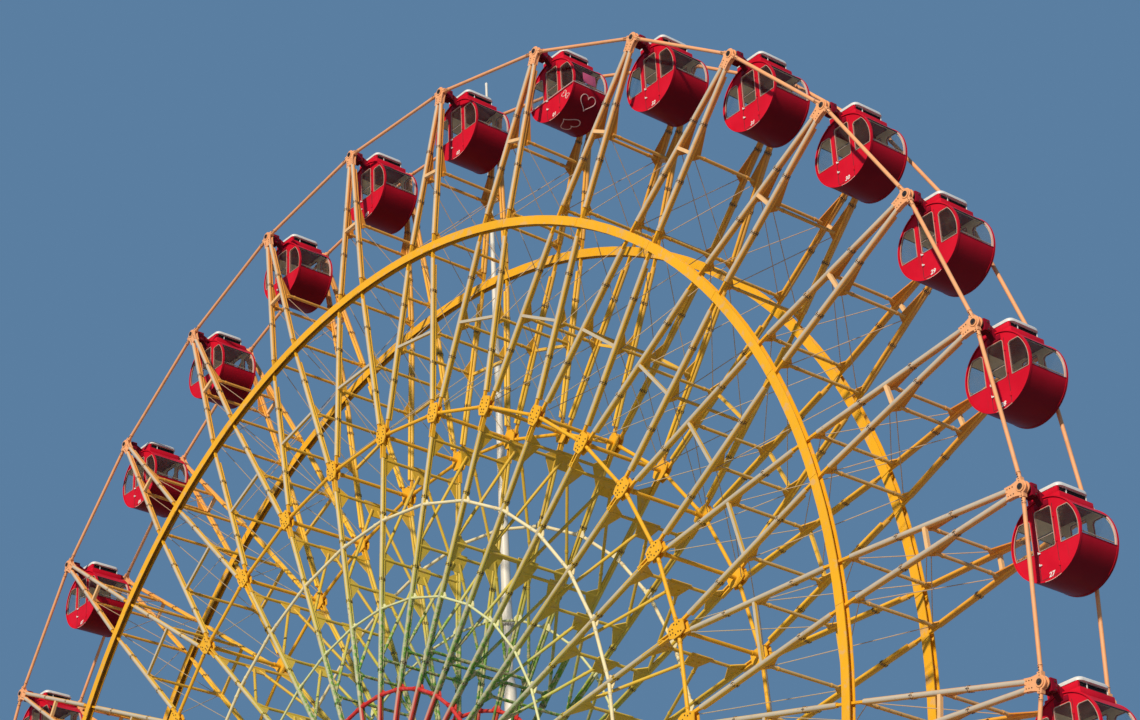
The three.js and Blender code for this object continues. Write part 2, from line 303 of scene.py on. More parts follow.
def towerMaterial():
    material, shader, place = newMaterial("towerWhitePaint")
    broad = noise(place, 1.2, 4)
    streaks = noise(stretch(place, (6.0, 6.0, 0.35)), 2.0, 5, 0.65)
    fine = noise(place, 70.0, 4, 0.7)
    rust = smooth(noise(place, 24.0, 6, 0.7), 0.66, 0.72)
    paint = mix(smooth(broad, 0.3, 0.75), (0.66, 0.63, 0.54), (0.74, 0.72, 0.66))
    paint = mix(smooth(streaks, 0.56, 0.78) * 0.5, paint, (0.42, 0.33, 0.22))
    paint = mix(rust * 0.8, paint, paints["rust"])
    plug(shader, colour=paint, roughness=fine * 0.2 + rust * 0.3 + 0.36,
         normal=bump(fine * 0.3 + rust * 0.6, 0.2, 0.004))
    return material


# What faces down is darkened, partly as soot and partly as painted shade, and small chips show the primer
def cabinRed(name, bright, dark):
    material, shader, place = newMaterial(name)
    blotches = noise(place, 9.0, 6, 0.65)
    fine = noise(place, 120.0, 4, 0.7)
    runs = noise(stretch(place, (9.0, 9.0, 0.8)), 2.4, 5, 0.6)
    sootAndUnderShade = smooth(normalAxes(place.tree)[2] * -1, -0.1, 0.85)
    chips = smooth(noise(place, 30.0, 7, 0.75), 0.67, 0.71)
    paint = mix(smooth(noise(place, 2.2, 4), 0.3, 0.7), bright, dark)
    paint = mix(smooth(runs, 0.56, 0.76) * 0.28, paint, (0.20, 0.03, 0.03))
    # the near-black red on what faces down: painted shade with some soot
    paint = mix(sootAndUnderShade * 0.78, paint, (0.05, 0.001, 0.004))
    paint = mix(chips * 0.8, paint, (0.06, 0.012, 0.014))
    plug(shader, colour=paint, roughness=blotches * 0.14 + chips * 0.3 + 0.30, coat=0.03 - chips * 0.02,
         normal=bump(fine * 0.2 + blotches * 0.5 + chips * 0.5, 0.12, 0.004))
    shader.inputs["Coat Roughness"].default_value = 0.2
    shader.inputs["Specular IOR Level"].default_value = 0.06
    return material


def plainPaint(name, light, dark, roughness, scale=14.0, dirt=0.3, metallic=0.0):
    material, shader, place = newMaterial(name)
    blotches = noise(place, scale, 5, 0.6)
    fine = noise(place, 110.0, 4, 0.7)
    plug(shader, colour=mix(smooth(blotches, 0.35, 0.72) * dirt, light, dark),
         roughness=fine * 0.16 + (roughness - 0.08), normal=bump(fine * 0.4 + blotches * 0.4, 0.15, 0.003))
    shader.inputs["Metallic"].default_value = metallic
    return material


def glassMaterial():
    material, shader, place = newMaterial("cabinGlazing")
    dust = noise(place, 5.0, 5, 0.6)
    plug(shader, colour=mix(smooth(dust, 0.4, 0.7), (0.10, 0.11, 0.11), (0.17, 0.16, 0.13)),
         alpha=smooth(dust, 0.35, 0.8) * 0.05 + 0.07, roughness=noise(place, 9.0, 4, 0.6) * 0.08 + 0.08)
    return material


def benchMaterial():
    material, shader, place = newMaterial("benchMoulding")
    grain = noise(place, 160.0, 5, 0.7)
    plug(shader, colour=mix(smooth(noise(place, 6.0, 4), 0.35, 0.7), (0.52, 0.44, 0.30), (0.38, 0.31, 0.20)),
         roughness=grain * 0.2 + 0.45, normal=bump(grain, 0.25, 0.002))
    return material


def floorMaterial():
    material, shader, place = newMaterial("studioFloor")
    cloud = noise(place, 0.35, 3)
    plug(shader, colour=mix(smooth(cloud, 0.3, 0.7), (0.38, 0.38, 0.38), (0.41, 0.41, 0.41)),
         roughness=cloud * 0.1 + 0.75)
    return material


finishes = buildPaints()
finishes.update({
    "steel": steelMaterial(),
    "tower": towerMaterial(),
    "red": cabinRed("cabinRedPaint", (0.66, 0.010, 0.030), (0.56, 0.006, 0.022)),
    "deepRed": cabinRed("hangerDeepRedPaint", (0.27, 0.006, 0.022), (0.20, 0.004, 0.016)),
    "white": plainPaint("hatWhitePaint", (0.74, 0.74, 0.71), (0.50, 0.46, 0.38), 0.42),
    "black": plainPaint("louvreBlack", (0.018, 0.018, 0.020), (0.05, 0.045, 0.04), 0.5, 20.0, 0.5),
    "trim": plainPaint("frameAluminium", (0.60, 0.46, 0.36), (0.38, 0.26, 0.20), 0.38, 18.0, 0.5, 0.2),
    "lining": plainPaint("cabinLining", (0.80, 0.68, 0.46), (0.62, 0.50, 0.32), 0.55, 8.0, 0.6),
    # pale pink for a window trim, and for the painted highlight low on the cabins' lips
    "pink": plainPaint("pinkTrimAndLipHighlight", (0.80, 0.52, 0.44), (0.62, 0.36, 0.30), 0.4, 10.0, 0.5),
    "letter": plainPaint("letteringWhite", (0.86, 0.84, 0.80), (0.66, 0.60, 0.54), 0.45, 60.0, 0.5),
    "heart": plainPaint("heartPalePink", (0.72, 0.50, 0.47), (0.54, 0.32, 0.30), 0.45, 40.0, 0.5),
    "rosePanel": plainPaint("panelRose", (0.72, 0.10, 0.24), (0.55, 0.06, 0.16), 0.5, 8.0, 0.5),
    "glass": glassMaterial(),
    "bench": benchMaterial(),
    "floor": floorMaterial(),
})
print("materials made:", len(finishes))


# Mesh tools
def newMeshes(count):
    return [bmesh.new() for _ in range(count)]


# A step along the axle
def axial(distance):
    return Vector((0, distance, 0))


def columns(x, y, z, origin):
    return Matrix.Translation(origin) @ Matrix((x, y, z)).transposed().to_4x4()


# Matrix whose Z runs from start to end and whose Y lies as near as it can to the axle's way
def aim(start, end):
    z = (end - start).normalized()
    x = Vector((0, 1, 0)).cross(z).normalized()
    return columns(x, z.cross(x), z, (start + end) / 2)


def tube(bm, start, end, radius, sides=10, endRadius=None):
    start, end = Vector(start), Vector(end)
    turn = Vector((0, 0, 1)).rotation_difference(end - start).to_matrix().to_4x4()
    bmesh.ops.create_cone(bm, cap_ends=True, segments=sides, radius1=radius,
                          radius2=radius if endRadius is None else endRadius, depth=(end - start).length,
                          matrix=Matrix.Translation((start + end) / 2) @ turn)


def squareBar(bm, start, end, width, depth):
    verts = bmesh.ops.create_cube(bm, size=1)["verts"]
    bmesh.ops.scale(bm, vec=(width, depth, (end - start).length), verts=verts)
    bmesh.ops.transform(bm, matrix=aim(start, end), verts=verts)


def block(bm, centre, size, bevel=0.0):
    verts = bmesh.ops.create_cube(bm, size=1)["verts"]
    bmesh.ops.scale(bm, vec=size, verts=verts)
    bmesh.ops.translate(bm, vec=centre, verts=verts)
    if bevel:
        edges = list({edge for vert in verts for edge in vert.link_edges})
        bmesh.ops.bevel(bm, geom=edges, offset=bevel, affect="EDGES", segments=2, profile=0.5, material=-1)


# A flat plate: its outline lies in the first two columns of place, and it is thick along the third
def plate(bm, outline, thickness, place):
    verts = [bm.verts.new((x, y, -thickness / 2)) for x, y in outline]
    made = bmesh.ops.extrude_face_region(bm, geom=[bm.faces.new(verts)])["geom"]
    topVerts = [item for item in made if isinstance(item, bmesh.types.BMVert)]
    bmesh.ops.translate(bm, vec=(0, 0, thickness), verts=topVerts)
    bmesh.ops.transform(bm, matrix=place, verts=verts + topVerts)


# Two collars face to face, at a share of the way along a tube
def flanges(bm, start, end, share, tubeRadius, sides=10, gap=0.012, grow=1.22, thick=0.024):
    middle = start.lerp(end, share)
    along = (end - start).normalized()
    for sign in (-1, 1):
        near = middle + along * sign * gap / 2
        tube(bm, near, near + along * sign * thick, tubeRadius * grow, sides)


# A tube whose ends stop short by the inset, and a flanged joint at each share of the way
def flangedTube(bm, start, end, shares, radius, sides=10, flangeSides=8, inset=0.0):
    along = (end - start).normalized()
    tube(bm, start + along * inset, end - along * inset, radius, sides)
    for share in shares:
        flanges(bm, start, end, share, radius, flangeSides)


# Bolts in a ring about centre, in the plane of first and second, each from before to after
def boltRing(bm, centre, first, second, radius, count, before, after, boltRadius, sides=6, shift=0.0):
    for number in range(count):
        turn = 2 * math.pi * (number + shift) / count
        at = centre + (Vector(first) * math.cos(turn) + Vector(second) * math.sin(turn)) * radius
        tube(bm, at + before, at + after, boltRadius, sides)


# Upright ribs in a ring: their outline runs outwards, and up along the way given
def ribRing(bm, outline, thickness, count, centre, up, reach=0.0, shift=0.0):
    for number in range(count):
        turn = 2 * math.pi * (number + shift) / count
        out = Vector((math.cos(turn), math.sin(turn), 0))
        plate(bm, outline, thickness, columns(out, up, out.cross(Vector((0, 0, 1))), centre + out * reach))


tubeJoint = {
    "gap": 0.020,
    "collar": 0.022,
    "collarGrow": 1.24,
    "throatGrow": 1.08,
    "throat": 0.012,
    "bolts": 6,
    "boltCircle": 1.12,
    "boltReach": 0.045,
    "boltRadius": 0.011,
}


# Two collars where one tube meets the next, the dark gap between them and the bolts through both
def boltedJoint(collars, bolts, start, end, share, radius):
    flanges(collars, start, end, share, radius, 10, tubeJoint["gap"], tubeJoint["collarGrow"], tubeJoint["collar"])
    middle = start.lerp(end, share)
    along = (end - start).normalized()
    tube(bolts, middle - along * tubeJoint["throat"], middle + along * tubeJoint["throat"],
         radius * tubeJoint["throatGrow"])
    ring = aim(start, end).to_3x3()
    reach = along * tubeJoint["boltReach"]
    boltRing(bolts, middle, ring.col[0], ring.col[1], radius * tubeJoint["boltCircle"], tubeJoint["bolts"], -reach,
             reach, tubeJoint["boltRadius"], 5, 0.5)


# Turns a profile about an axis; its ends lie on the axis, so the form is closed
def turnProfile(bm, points, centre, axis, steps):
    verts = [bm.verts.new(point) for point in points]
    edges = [bm.edges.new(pair) for pair in zip(verts, verts[1:])]
    bmesh.ops.spin(bm, geom=verts + edges, cent=centre, axis=axis, angle=2 * math.pi, steps=steps, use_merge=True)
    bmesh.ops.remove_doubles(bm, verts=bm.verts[:], dist=1e-4)


def takeMesh(bm, name):
    mesh = bpy.data.meshes.new(name)
    bm.to_mesh(mesh)
    bm.free()
    return mesh


def addMesh(bm, mesh):
    bm.from_mesh(mesh)
    bpy.data.meshes.remove(mesh)


def joinInto(whole, part):
    addMesh(whole, takeMesh(part, "part"))


def addObject(name, data):
    item = bpy.data.objects.new(name, data)
    bpy.context.scene.collection.objects.link(item)
    return item


# The solid form of a curve as a bmesh, brought to its place
def curveForm(curve, place):
    holder = addObject("outline", curve)
    bpy.context.view_layer.update()
    mesh = bpy.data.meshes.new_from_object(holder.evaluated_get(bpy.context.evaluated_depsgraph_get()))
    bpy.data.objects.remove(holder)
    bpy.data.curves.remove(curve)
    bm = bmesh.new()
    addMesh(bm, mesh)
    bmesh.ops.remove_doubles(bm, verts=bm.verts[:], dist=1e-5)
    bmesh.ops.transform(bm, matrix=place, verts=bm.verts[:])
    return bm


def polyCurve(outlines, dimensions, closed=True):
    curve = bpy.data.curves.new("panel", "CURVE")
    curve.dimensions = dimensions
    for outline in outlines:
        spline = curve.splines.new("POLY")
        spline.points.add(len(outline) - 1)
        for point, at in zip(spline.points, outline):
            point.co = (*at, 1)
        spline.use_cyclic_u = closed
    return curve


# A flat panel that stands in the XZ plane at y, with holes where its later outlines are
def flatPanel(outlines, y, thickness):
    curve = polyCurve([[(x, z, 0) for x, z in outline] for outline in outlines], "2D")
    curve.fill_mode = "BOTH"
    curve.extrude = thickness / 2
    return curveForm(curve, Matrix.Translation(axial(y)) @ Matrix.Rotation(math.pi / 2, 4, "X"))


def circleOutline(radius, centreZ, count=64):
    turns = [2 * math.pi * n / count for n in range(count)]
    return [(radius * math.sin(turn), centreZ + radius * math.cos(turn)) for turn in turns]


def roundedBox(z, halfWidth, halfHeight, radius, steps=4):
    outline = []
    for quarter, (signX, signZ) in enumerate(((1, 1), (1, -1), (-1, -1), (-1, 1))):
        for n in range(steps + 1):
            turn = math.pi / 2 * (quarter + n / steps)
            outline.append((signX * (halfWidth - radius) + radius * math.sin(turn),
                            z + signZ * (halfHeight - radius) + radius * math.cos(turn)))
    return outline


def toObject(bm, name, materials, body, sharpAngle=40):
    bmesh.ops.recalc_face_normals(bm, faces=bm.faces[:])
    mesh = takeMesh(bm, name)
    mesh.shade_smooth()
    mesh.set_sharp_from_angle(angle=math.radians(sharpAngle))
    for material in materials:
        mesh.materials.append(material)
    piece = addObject(name, mesh)
    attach(piece, body)
    return piece


# Turns one bay into the whole wheel and brings it to the model's place and scale
def finishWheelPiece(bm, name, finish, repeat=True):
    if repeat:
        bmesh.ops.spin(bm, geom=bm.verts[:] + bm.edges[:] + bm.faces[:], cent=(0, 0, 0), axis=(0, 1, 0),
                       angle=2 * math.pi - stepAngle, steps=pinCount - 1, use_duplicate=True, use_merge=False)
    place = Matrix.Translation(hubPlace) @ Matrix.Scale(modelScale, 4) @ Matrix.Rotation(restAngle, 4, "Y")
    bmesh.ops.transform(bm, matrix=place, verts=bm.verts[:])
    print(name, len(bm.faces), "faces")
    return toObject(bm, name, [finishes[finish]], "wheel", 48)


# The wheel's frame, with pin 0 straight up: radii from the hub, and half gaps between its two faces
truss = {
    "rimHalfGap": 1.07,
    "innerHalfGap": 1.37,
    "archRadius": 17.62,
    "gusset": 12.32,
    "spokeTop": 11.62,
    "legTip": 22.60,
    "legTipOffset": 0.085,
    "legFootOffset": 0.13,
}
toNextPin = Matrix.Rotation(stepAngle, 4, "Y")
toMiddle = Matrix.Rotation(stepAngle / 2, 4, "Y")  # to the spoke between pin 0 and the next
spokeUp = toMiddle @ Vector((0, 0, 1))
spokeAcross = toMiddle @ Vector((1, 0, 0))
legFootU = truss["gusset"] * math.cos(stepAngle / 2) + truss["legFootOffset"] * math.sin(stepAngle / 2)
legFootV = truss["gusset"] * math.sin(stepAngle / 2) - truss["legFootOffset"] * math.cos(stepAngle / 2)


# A point on the leg of one face and one hand, at height u on pin 0's radius
def legPoint(side, hand, u):
    down = (truss["legTip"] - u) / (truss["legTip"] - legFootU)
    offset = truss["legTipOffset"] + down * (legFootV - truss["legTipOffset"])
    flare = min(1, max(0, (rimRadius - u) / (rimRadius - truss["archRadius"])))
    halfGap = truss["rimHalfGap"] + flare * (truss["innerHalfGap"] - truss["rimHalfGap"])
    return Vector((hand * offset, side * halfGap, u))


def spokePoint(side, u):
    return toMiddle @ Vector((0, side * truss["innerHalfGap"], u))


rim = {
    "chordRadius": 0.050,
    "chordInset": 0.12,  # from the pin to the chord's end
    "stub": 0.38,  # from the pin to the joint in the chord
    "plateThickness": 0.025,
    "plateGap": 0.10,
    "shoulder": 0.155,
    "plateFoot": ((0.20, -0.03), (0.172, -0.13), (0.150, -0.24), (0.152, -0.43), (0.012, -0.41), (0.0, -0.35)),
    "cheekX": 0.13,
    "cheekSpan": (-0.10, -0.40),
    "cheekThickness": 0.022,
    "shoe": 0.12,
    "shoeSpan": (0.08, 0.24),
    "chordBolts": (0.15, 0.21, 0.27, 0.33),
    "legBolts": (-0.21, -0.285, -0.36),
    "bossRadius": 0.115,
    "pinRadius": 0.072,
    "pinReach": 0.10,
    "capRadius": 0.030,
}


def buildRim():
    chords, plates, pins = newMeshes(3)
    radius, reach = rim["chordRadius"], rim["pinReach"]
    lean = math.atan2(truss["innerHalfGap"] - truss["rimHalfGap"], rimRadius - truss["archRadius"])
    # the spade-shaped plate: round above the pin, drawn in to the two legs below it
    arc = [math.radians(-84 + 168 * n / 12) for n in range(13)]
    outline = [(rim["shoulder"] * math.sin(a), rim["shoulder"] * math.cos(a)) for a in arc]
    outline += list(rim["plateFoot"]) + [(-x, z) for x, z in rim["plateFoot"][-2::-1]]
    for side in (-1, 1):
        here = Vector((0, side * truss["rimHalfGap"], rimRadius))
        there = toNextPin @ here
        along, length = (there - here).normalized(), (there - here).length
        tube(chords, here + along * rim["chordInset"], there - along * rim["chordInset"], radius, 12)
        for stub in (rim["stub"], length - rim["stub"]):
            flanges(chords, here, there, stub / length, radius, 12, gap=0.016, grow=1.14, thick=0.016)
            tube(pins, here + along * (stub - 0.008), here + along * (stub + 0.008), radius * 1.05, 12)
        for offset in (-rim["plateGap"] / 2, rim["plateGap"] / 2):
            place = columns((1, 0, 0), (0, -side * math.sin(lean), math.cos(lean)),
                            (0, -math.cos(lean), -side * math.sin(lean)), here + axial(side * offset))
            plate(plates, outline, rim["plateThickness"], place)
        for hand in (-1, 1):
            x = hand * rim["cheekX"]
            top, foot = rim["cheekSpan"]
            squareBar(plates, here + Vector((x, 0, top)), here + Vector((x, side * 0.02, foot)),
                      rim["cheekThickness"], rim["plateGap"])
            stub = Matrix.Rotation(hand * stepAngle / 2, 4, "Y") @ Vector((hand, 0, 0))
            near, far = rim["shoeSpan"]
            squareBar(plates, here + stub * near, here + stub * far, rim["shoe"], rim["shoe"])
            for distance in rim["chordBolts"]:
                at = here + stub * distance + axial(side * 0.045)
                tube(pins, at, at + axial(side * 0.022), 0.013, 6)
            for level in rim["legBolts"]:
                at = here + Vector((hand * 0.085, side * 0.066, level))
                tube(pins, at, at + axial(side * 0.020), 0.014, 6)
        tube(plates, here - axial(side * reach), here + axial(side * 0.085), rim["bossRadius"], 20)
        tube(pins, here - axial(side * reach), here + axial(side * reach), rim["pinRadius"], 16)
        tube(pins, here + axial(side * 0.09), here + axial(side * 0.12), rim["capRadius"], 6)
    finishWheelPiece(chords, "rimChords", "rim")
    piece = finishWheelPiece(plates, "rimPlates", "rim")
    finishWheelPiece(pins, "rimPins", "steel")
    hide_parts("front_rim", "back_rim")


legs = {
    "radius": 0.066,
    "rearRadius": 0.042,
    "rearOffset": 0.095,
    "joints": (21.05, 19.45),
    "archEnd": 18.06,
    "archStart": 17.24,
    "lowerJoints": (16.2, 13.9),
    "footEnd": 12.72,
    "linkEnd": 12.45,
}


# A thick tube, the slimmer one close behind it, and the bolted joints of both
def twinTubes(front, rear, collars, bolts, start, end, behind, size, shares, rearStart=0.0):
    tube(front, start, end, size["radius"], 14)
    tube(rear, start.lerp(end, rearStart) + behind, end + behind, size["rearRadius"])
    for share in shares:
        boltedJoint(collars, bolts, start, end, share, size["radius"])
        boltedJoint(collars, bolts, start + behind, end + behind, share, size["rearRadius"])


def buildLegs():
    tubes, rear, links, collars, bolts = newMeshes(5)
    for side in (-1, 1):
        for hand in (-1, 1):
            for top, foot, joints in ((truss["legTip"], legs["archEnd"], legs["joints"]),
                                      (legs["archStart"], legs["footEnd"], legs["lowerJoints"])):
                twinTubes(tubes, rear, collars, bolts, legPoint(side, hand, top), legPoint(side, hand, foot),
                          axial(-side * legs["rearOffset"]), legs, [(top - u) / (top - foot) for u in joints], 0.04)
            # narrow link plates behind the arch and down to the gusset
            squareBar(links, legPoint(side, hand, legs["archEnd"] + 0.10),
                      legPoint(side, hand, legs["archStart"] - 0.10), 0.06, 0.09)
            squareBar(links, legPoint(side, hand, legs["footEnd"] + 0.08),
                      legPoint(side, hand, legs["linkEnd"]), 0.075, 0.08)
    finishWheelPiece(tubes, "legTubes", "leg")
    finishWheelPiece(rear, "legRearTubes", "legRear")
    finishWheelPiece(links, "legLinks", "gusset")
    finishWheelPiece(collars, "legCollars", "leg")
    finishWheelPiece(bolts, "legJoints", "steel")


# Each level has a wedge-shaped plate on every leg and a beam that crosses between them
crossFrames = {
    "levels": ({"u": 20.24, "reach": 0.32, "above": 1.30, "below": 0.24},
               {"u": 17.98, "reach": 0.26, "above": 0.30, "below": 0.16},
               {"u": 14.88, "reach": 0.32, "above": 0.60, "below": 0.26}),
    "beamRadius": 0.046,
    "beamInset": 0.62,  # share of the plate's reach
    "beamJoints": (0.13, 0.87),
    "thickness": 0.03,
    "upperBar": 0.095,
    "lowerBar": 0.08,
}


def buildCrossFrames():
    bars, plates, beams, struts = newMeshes(4)
    radius, grip = crossFrames["beamRadius"], legs["radius"] * 0.6
    for hand in (-1, 1):
        for level in crossFrames["levels"]:
            u, reach, above, below = level["u"], level["reach"], level["above"], level["below"]
            outline = [(-grip, above), (grip, above * 0.96), (reach, radius + 0.02), (reach, -radius - 0.02),
                       (grip, -below), (-grip, -below)]
            for side in (-1, 1):
                at = legPoint(side, hand, u)
                inward, up = axial(-side), (legPoint(side, hand, u + 1) - at).normalized()
                plate(plates, outline, crossFrames["thickness"],
                      columns(inward, up, up.cross(inward).normalized(), at))
            inset = axial(reach * crossFrames["beamInset"])
            flangedTube(beams, legPoint(-1, hand, u) + inset, legPoint(1, hand, u) - inset,
                        crossFrames["beamJoints"], radius)
    # the short bar between the two legs of a pin, and the slimmer one lower down
    upper, lower = crossFrames["levels"][0]["u"], crossFrames["levels"][2]["u"]
    for side in (-1, 1):
        squareBar(bars, legPoint(side, -1, upper), legPoint(side, 1, upper), crossFrames["upperBar"],
                  crossFrames["upperBar"])
        squareBar(struts, legPoint(side, -1, lower), legPoint(side, 1, lower), crossFrames["lowerBar"],
                  crossFrames["lowerBar"])
    finishWheelPiece(bars, "legBars", "bar")
    finishWheelPiece(plates, "bracketPlates", "brace")
    finishWheelPiece(beams, "crossBeams", "beam")
    finishWheelPiece(struts, "midStruts", "leg")


arch = {
    "width": 0.25,
    "depth": 0.19,
    "flange": 0.024,
    "web": 0.03,
    "halfGap": 1.385,
    "steps": 160,
    "spliceShare": 0.11,  # how far round the bay the splice plate lies
    "spliceHeight": 0.23,
    "spliceLength": 0.30,
    "spliceThickness": 0.016,
}


# Two rolled beams bent to full rings, with a splice plate in every bay
def buildArches():
    rings, splices = newMeshes(2)
    w, d = arch["width"] / 2, arch["depth"] / 2
    f, t = arch["flange"], arch["web"] / 2
    section = [(-w, -d), (w, -d), (w, f - d), (t, f - d), (t, d - f), (w, d - f),
               (w, d), (-w, d), (-w, d - f), (-t, d - f), (-t, f - d), (-w, f - d)]
    turn = Matrix.Rotation(stepAngle * arch["spliceShare"], 4, "Y")
    half = turn @ Vector((0, 0, arch["spliceHeight"] / 2))
    for side in (-1, 1):
        corners = [rings.verts.new((0, side * arch["halfGap"] + y, truss["archRadius"] + r)) for r, y in section]
        edges = [rings.edges.new((corners[n - 1], corners[n])) for n in range(len(corners))]
        bmesh.ops.spin(rings, geom=corners + edges, cent=(0, 0, 0), axis=(0, 1, 0), angle=2 * math.pi,
                       steps=arch["steps"], use_merge=True)
        centre = turn @ Vector((0, side * (arch["halfGap"] + d), truss["archRadius"]))
        squareBar(splices, centre - half, centre + half, arch["spliceLength"], arch["spliceThickness"])
    piece = finishWheelPiece(rings, "archRings", "arch", repeat=False)
    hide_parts("arch_rings")
    finishWheelPiece(splices, "archSplices", "arch")


gussets = {
    "width": 0.42,
    "height": 0.56,
    "gap": 0.16,
    "thickness": 0.03,
    "bolts": ((-0.13, 0.16), (-0.10, 0.07), (0.13, 0.16), (0.10, 0.07), (-0.14, -0.03), (0.14, -0.03),
              (-0.05, -0.11), (0.05, -0.11), (-0.05, -0.20), (0.05, -0.20)),
    "boltRadius": 0.018,
    "barRadius": 0.052,
    "barInset": 0.10,
    "barJoints": (0.14, 0.86),
    "beamRadius": 0.056,
    "beamInset": 0.06,
    "beamJoints": (0.10, 0.90),
    "linkOffset": 0.05,
    "link": (0.035, 0.11),
}


def buildGussets():
    plates, bolts, bars = newMeshes(3)
    half, tall, gap = gussets["width"] / 2, gussets["height"] / 2, gussets["gap"] / 2
    outline = [(-half * 0.62, -tall), (half * 0.62, -tall), (half, -tall * 0.45), (half, tall * 0.45),
               (half * 0.72, tall), (-half * 0.72, tall), (-half, tall * 0.45), (-half, -tall * 0.45)]
    for side in (-1, 1):
        centre = spokePoint(side, truss["gusset"])
        for offset in (-gap, gap):
            plate(plates, outline, gussets["thickness"],
                  columns(spokeAcross, spokeUp, spokeAcross.cross(spokeUp), centre + axial(offset)))
        for x, z in gussets["bolts"]:
            at = centre + spokeAcross * x + spokeUp * z + axial(side * gap)
            tube(bolts, at, at + axial(side * 0.030), gussets["boltRadius"], 6)
        flangedTube(bars, centre, toNextPin @ centre, gussets["barJoints"], gussets["barRadius"],
                    inset=gussets["barInset"])
        # twin links from the gusset down to the spoke
        for hand in (-gussets["linkOffset"], gussets["linkOffset"]):
            squareBar(plates, centre + spokeAcross * hand - spokeUp * 0.05,
                      spokePoint(side, truss["spokeTop"]) + spokeAcross * hand, *gussets["link"])
    inset = axial(gussets["beamInset"])
    flangedTube(bars, spokePoint(-1, truss["gusset"]) + inset, spokePoint(1, truss["gusset"]) - inset,
                gussets["beamJoints"], gussets["beamRadius"], 12, 10)
    finishWheelPiece(plates, "gussetPlates", "gusset")
    finishWheelPiece(bolts, "gussetBolts", "steel")
    finishWheelPiece(bars, "gussetBars", "gusset")


spokes = {
    "radius": 0.060,
    "rearRadius": 0.038,
    "rearOffset": 0.088,
    "foot": 1.35,
    "joints": (9.9, 7.9, 5.2),
    "rings": ((9.67, 0.048), (7.00, 0.036), (4.46, 0.055)),  # radius of the ring, radius of its tube
    "ringInset": 0.05,
    "ringJoints": (0.17, 0.83),
    "ringPlate": ((-0.19, -0.04), (0.19, -0.04), (0.19, 0.04), (0.09, 0.14), (-0.09, 0.14), (-0.19, 0.04)),
    "beams": ((11.58, 1.0), (8.51, 1.0), (5.52, 0.62)),  # level, and size of the bracket there
    "bracket": ((-0.06, 0.16), (0.08, 0.26), (0.42, 0.06), (0.42, -0.06), (0.08, -0.58), (-0.06, -0.58)),
    "middlePlate": ((-0.34, 0.09), (0.34, 0.09), (0.34, -0.06), (0.20, -0.42), (-0.20, -0.42), (-0.34, -0.06)),
    "braceRadius": 0.045,
    "braceJoints": (0.16, 0.84),
    "braceDrop": 0.18,  # below the beam's middle
    "braceRise": 0.20,  # above the lower beam
    "braceOffset": 0.10,  # along the axle, at both ends
}


def buildSpokes():
    collars, bolts, tubes, rear, braces, rings = newMeshes(6)
    radius = spokes["braceRadius"]
    length = truss["spokeTop"] - spokes["foot"]
    for side in (-1, 1):
        twinTubes(tubes, rear, collars, bolts, spokePoint(side, truss["spokeTop"]), spokePoint(side, spokes["foot"]),
                  axial(-side * spokes["rearOffset"]), spokes,
                  [(truss["spokeTop"] - u) / length for u in spokes["joints"]])
        for u, ringTube in spokes["rings"]:
            here = spokePoint(side, u)
            flangedTube(rings, here, toNextPin @ here, spokes["ringJoints"], ringTube, 8, inset=spokes["ringInset"])
            plate(rings, spokes["ringPlate"], 0.025,
                  columns(spokeAcross, spokeUp, spokeAcross.cross(spokeUp), here - axial(side * 0.06)))
    for u, size in spokes["beams"]:
        tube(braces, spokePoint(-1, u) + axial(0.05), spokePoint(1, u) - axial(0.05), radius)
        for side in (-1, 1):
            plate(braces, [(x * size, z * size) for x, z in spokes["bracket"]], 0.03,
                  columns(axial(-side), spokeUp, spokeUp.cross(axial(-side)), spokePoint(side, u)))
    # from the middle of each beam, a brace runs down to the spoke on either side
    for (upper, _), (lower, _) in zip(spokes["beams"], spokes["beams"][1:]):
        middle = spokeUp * upper
        plate(braces, spokes["middlePlate"], 0.03, columns(axial(1), spokeUp, spokeUp.cross(axial(1)), middle))
        for side in (-1, 1):
            offset = axial(side * spokes["braceOffset"])
            flangedTube(braces, middle - spokeUp * spokes["braceDrop"] + offset,
                        spokePoint(side, lower + spokes["braceRise"]) - offset, spokes["braceJoints"], radius, 8)
    finishWheelPiece(collars, "spokeCollars", "inner")
    finishWheelPiece(bolts, "spokeJoints", "steel")
    piece = finishWheelPiece(tubes, "spokeTubes", "spoke")
    finishWheelPiece(rear, "spokeRearTubes", "inner")
    finishWheelPiece(braces, "innerBraces", "inner")
    finishWheelPiece(rings, "innerRings", "cream")
    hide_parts("front_spokes", "back_spokes")


rods = {
    "radius": 0.0115,
    "sides": 6,
    "levels": (20.12, 17.92, 14.78, 12.46),
    "spread": 0.02,  # keeps two rods apart where they cross
    "upperInset": 0.22,
    "lowerInset": 0.16,
    "lowerRise": 0.05,
}


# Thin rods that cross between the two faces, from each level to the next
def buildRods():
    bm = bmesh.new()
    for hand in (-1, 1):
        for upper, lower in zip(rods["levels"], rods["levels"][1:]):
            for side in (-1, 1):
                apart = Vector((hand * side * rods["spread"], 0, 0))
                tube(bm, legPoint(side, hand, upper) - axial(side * rods["upperInset"]) + apart,
                     legPoint(-side, hand, lower) + Vector((0, side * rods["lowerInset"], rods["lowerRise"])) + apart,
                     rods["radius"], rods["sides"])
    finishWheelPiece(bm, "braceRods", "rod")


hub = {
    "faceReach": 0.13,  # from the wheel's face to the spool's outer end
    # radius, and how far in from the spool's end
    "profile": ((0.0, 0.0), (0.95, 0.0), (1.0, 0.04), (1.72, 0.06), (1.75, 0.09), (1.75, 0.17), (1.72, 0.20),
                (0.92, 0.22), (0.80, 0.36)),
    "clampU": 1.62,
    "clampOffset": 0.11,
    "clamp": ((-0.09, -0.42), (0.09, -0.42), (0.13, 0.40), (-0.13, 0.40)),
    "clampBolts": (-0.3, -0.1, 0.1, 0.3),
    "axleRadius": 0.415,
    "axleEnd": 3.98,
    "collarRadius": 0.62,
    "boltCircle": 0.53,
    "bolts": 12,
}


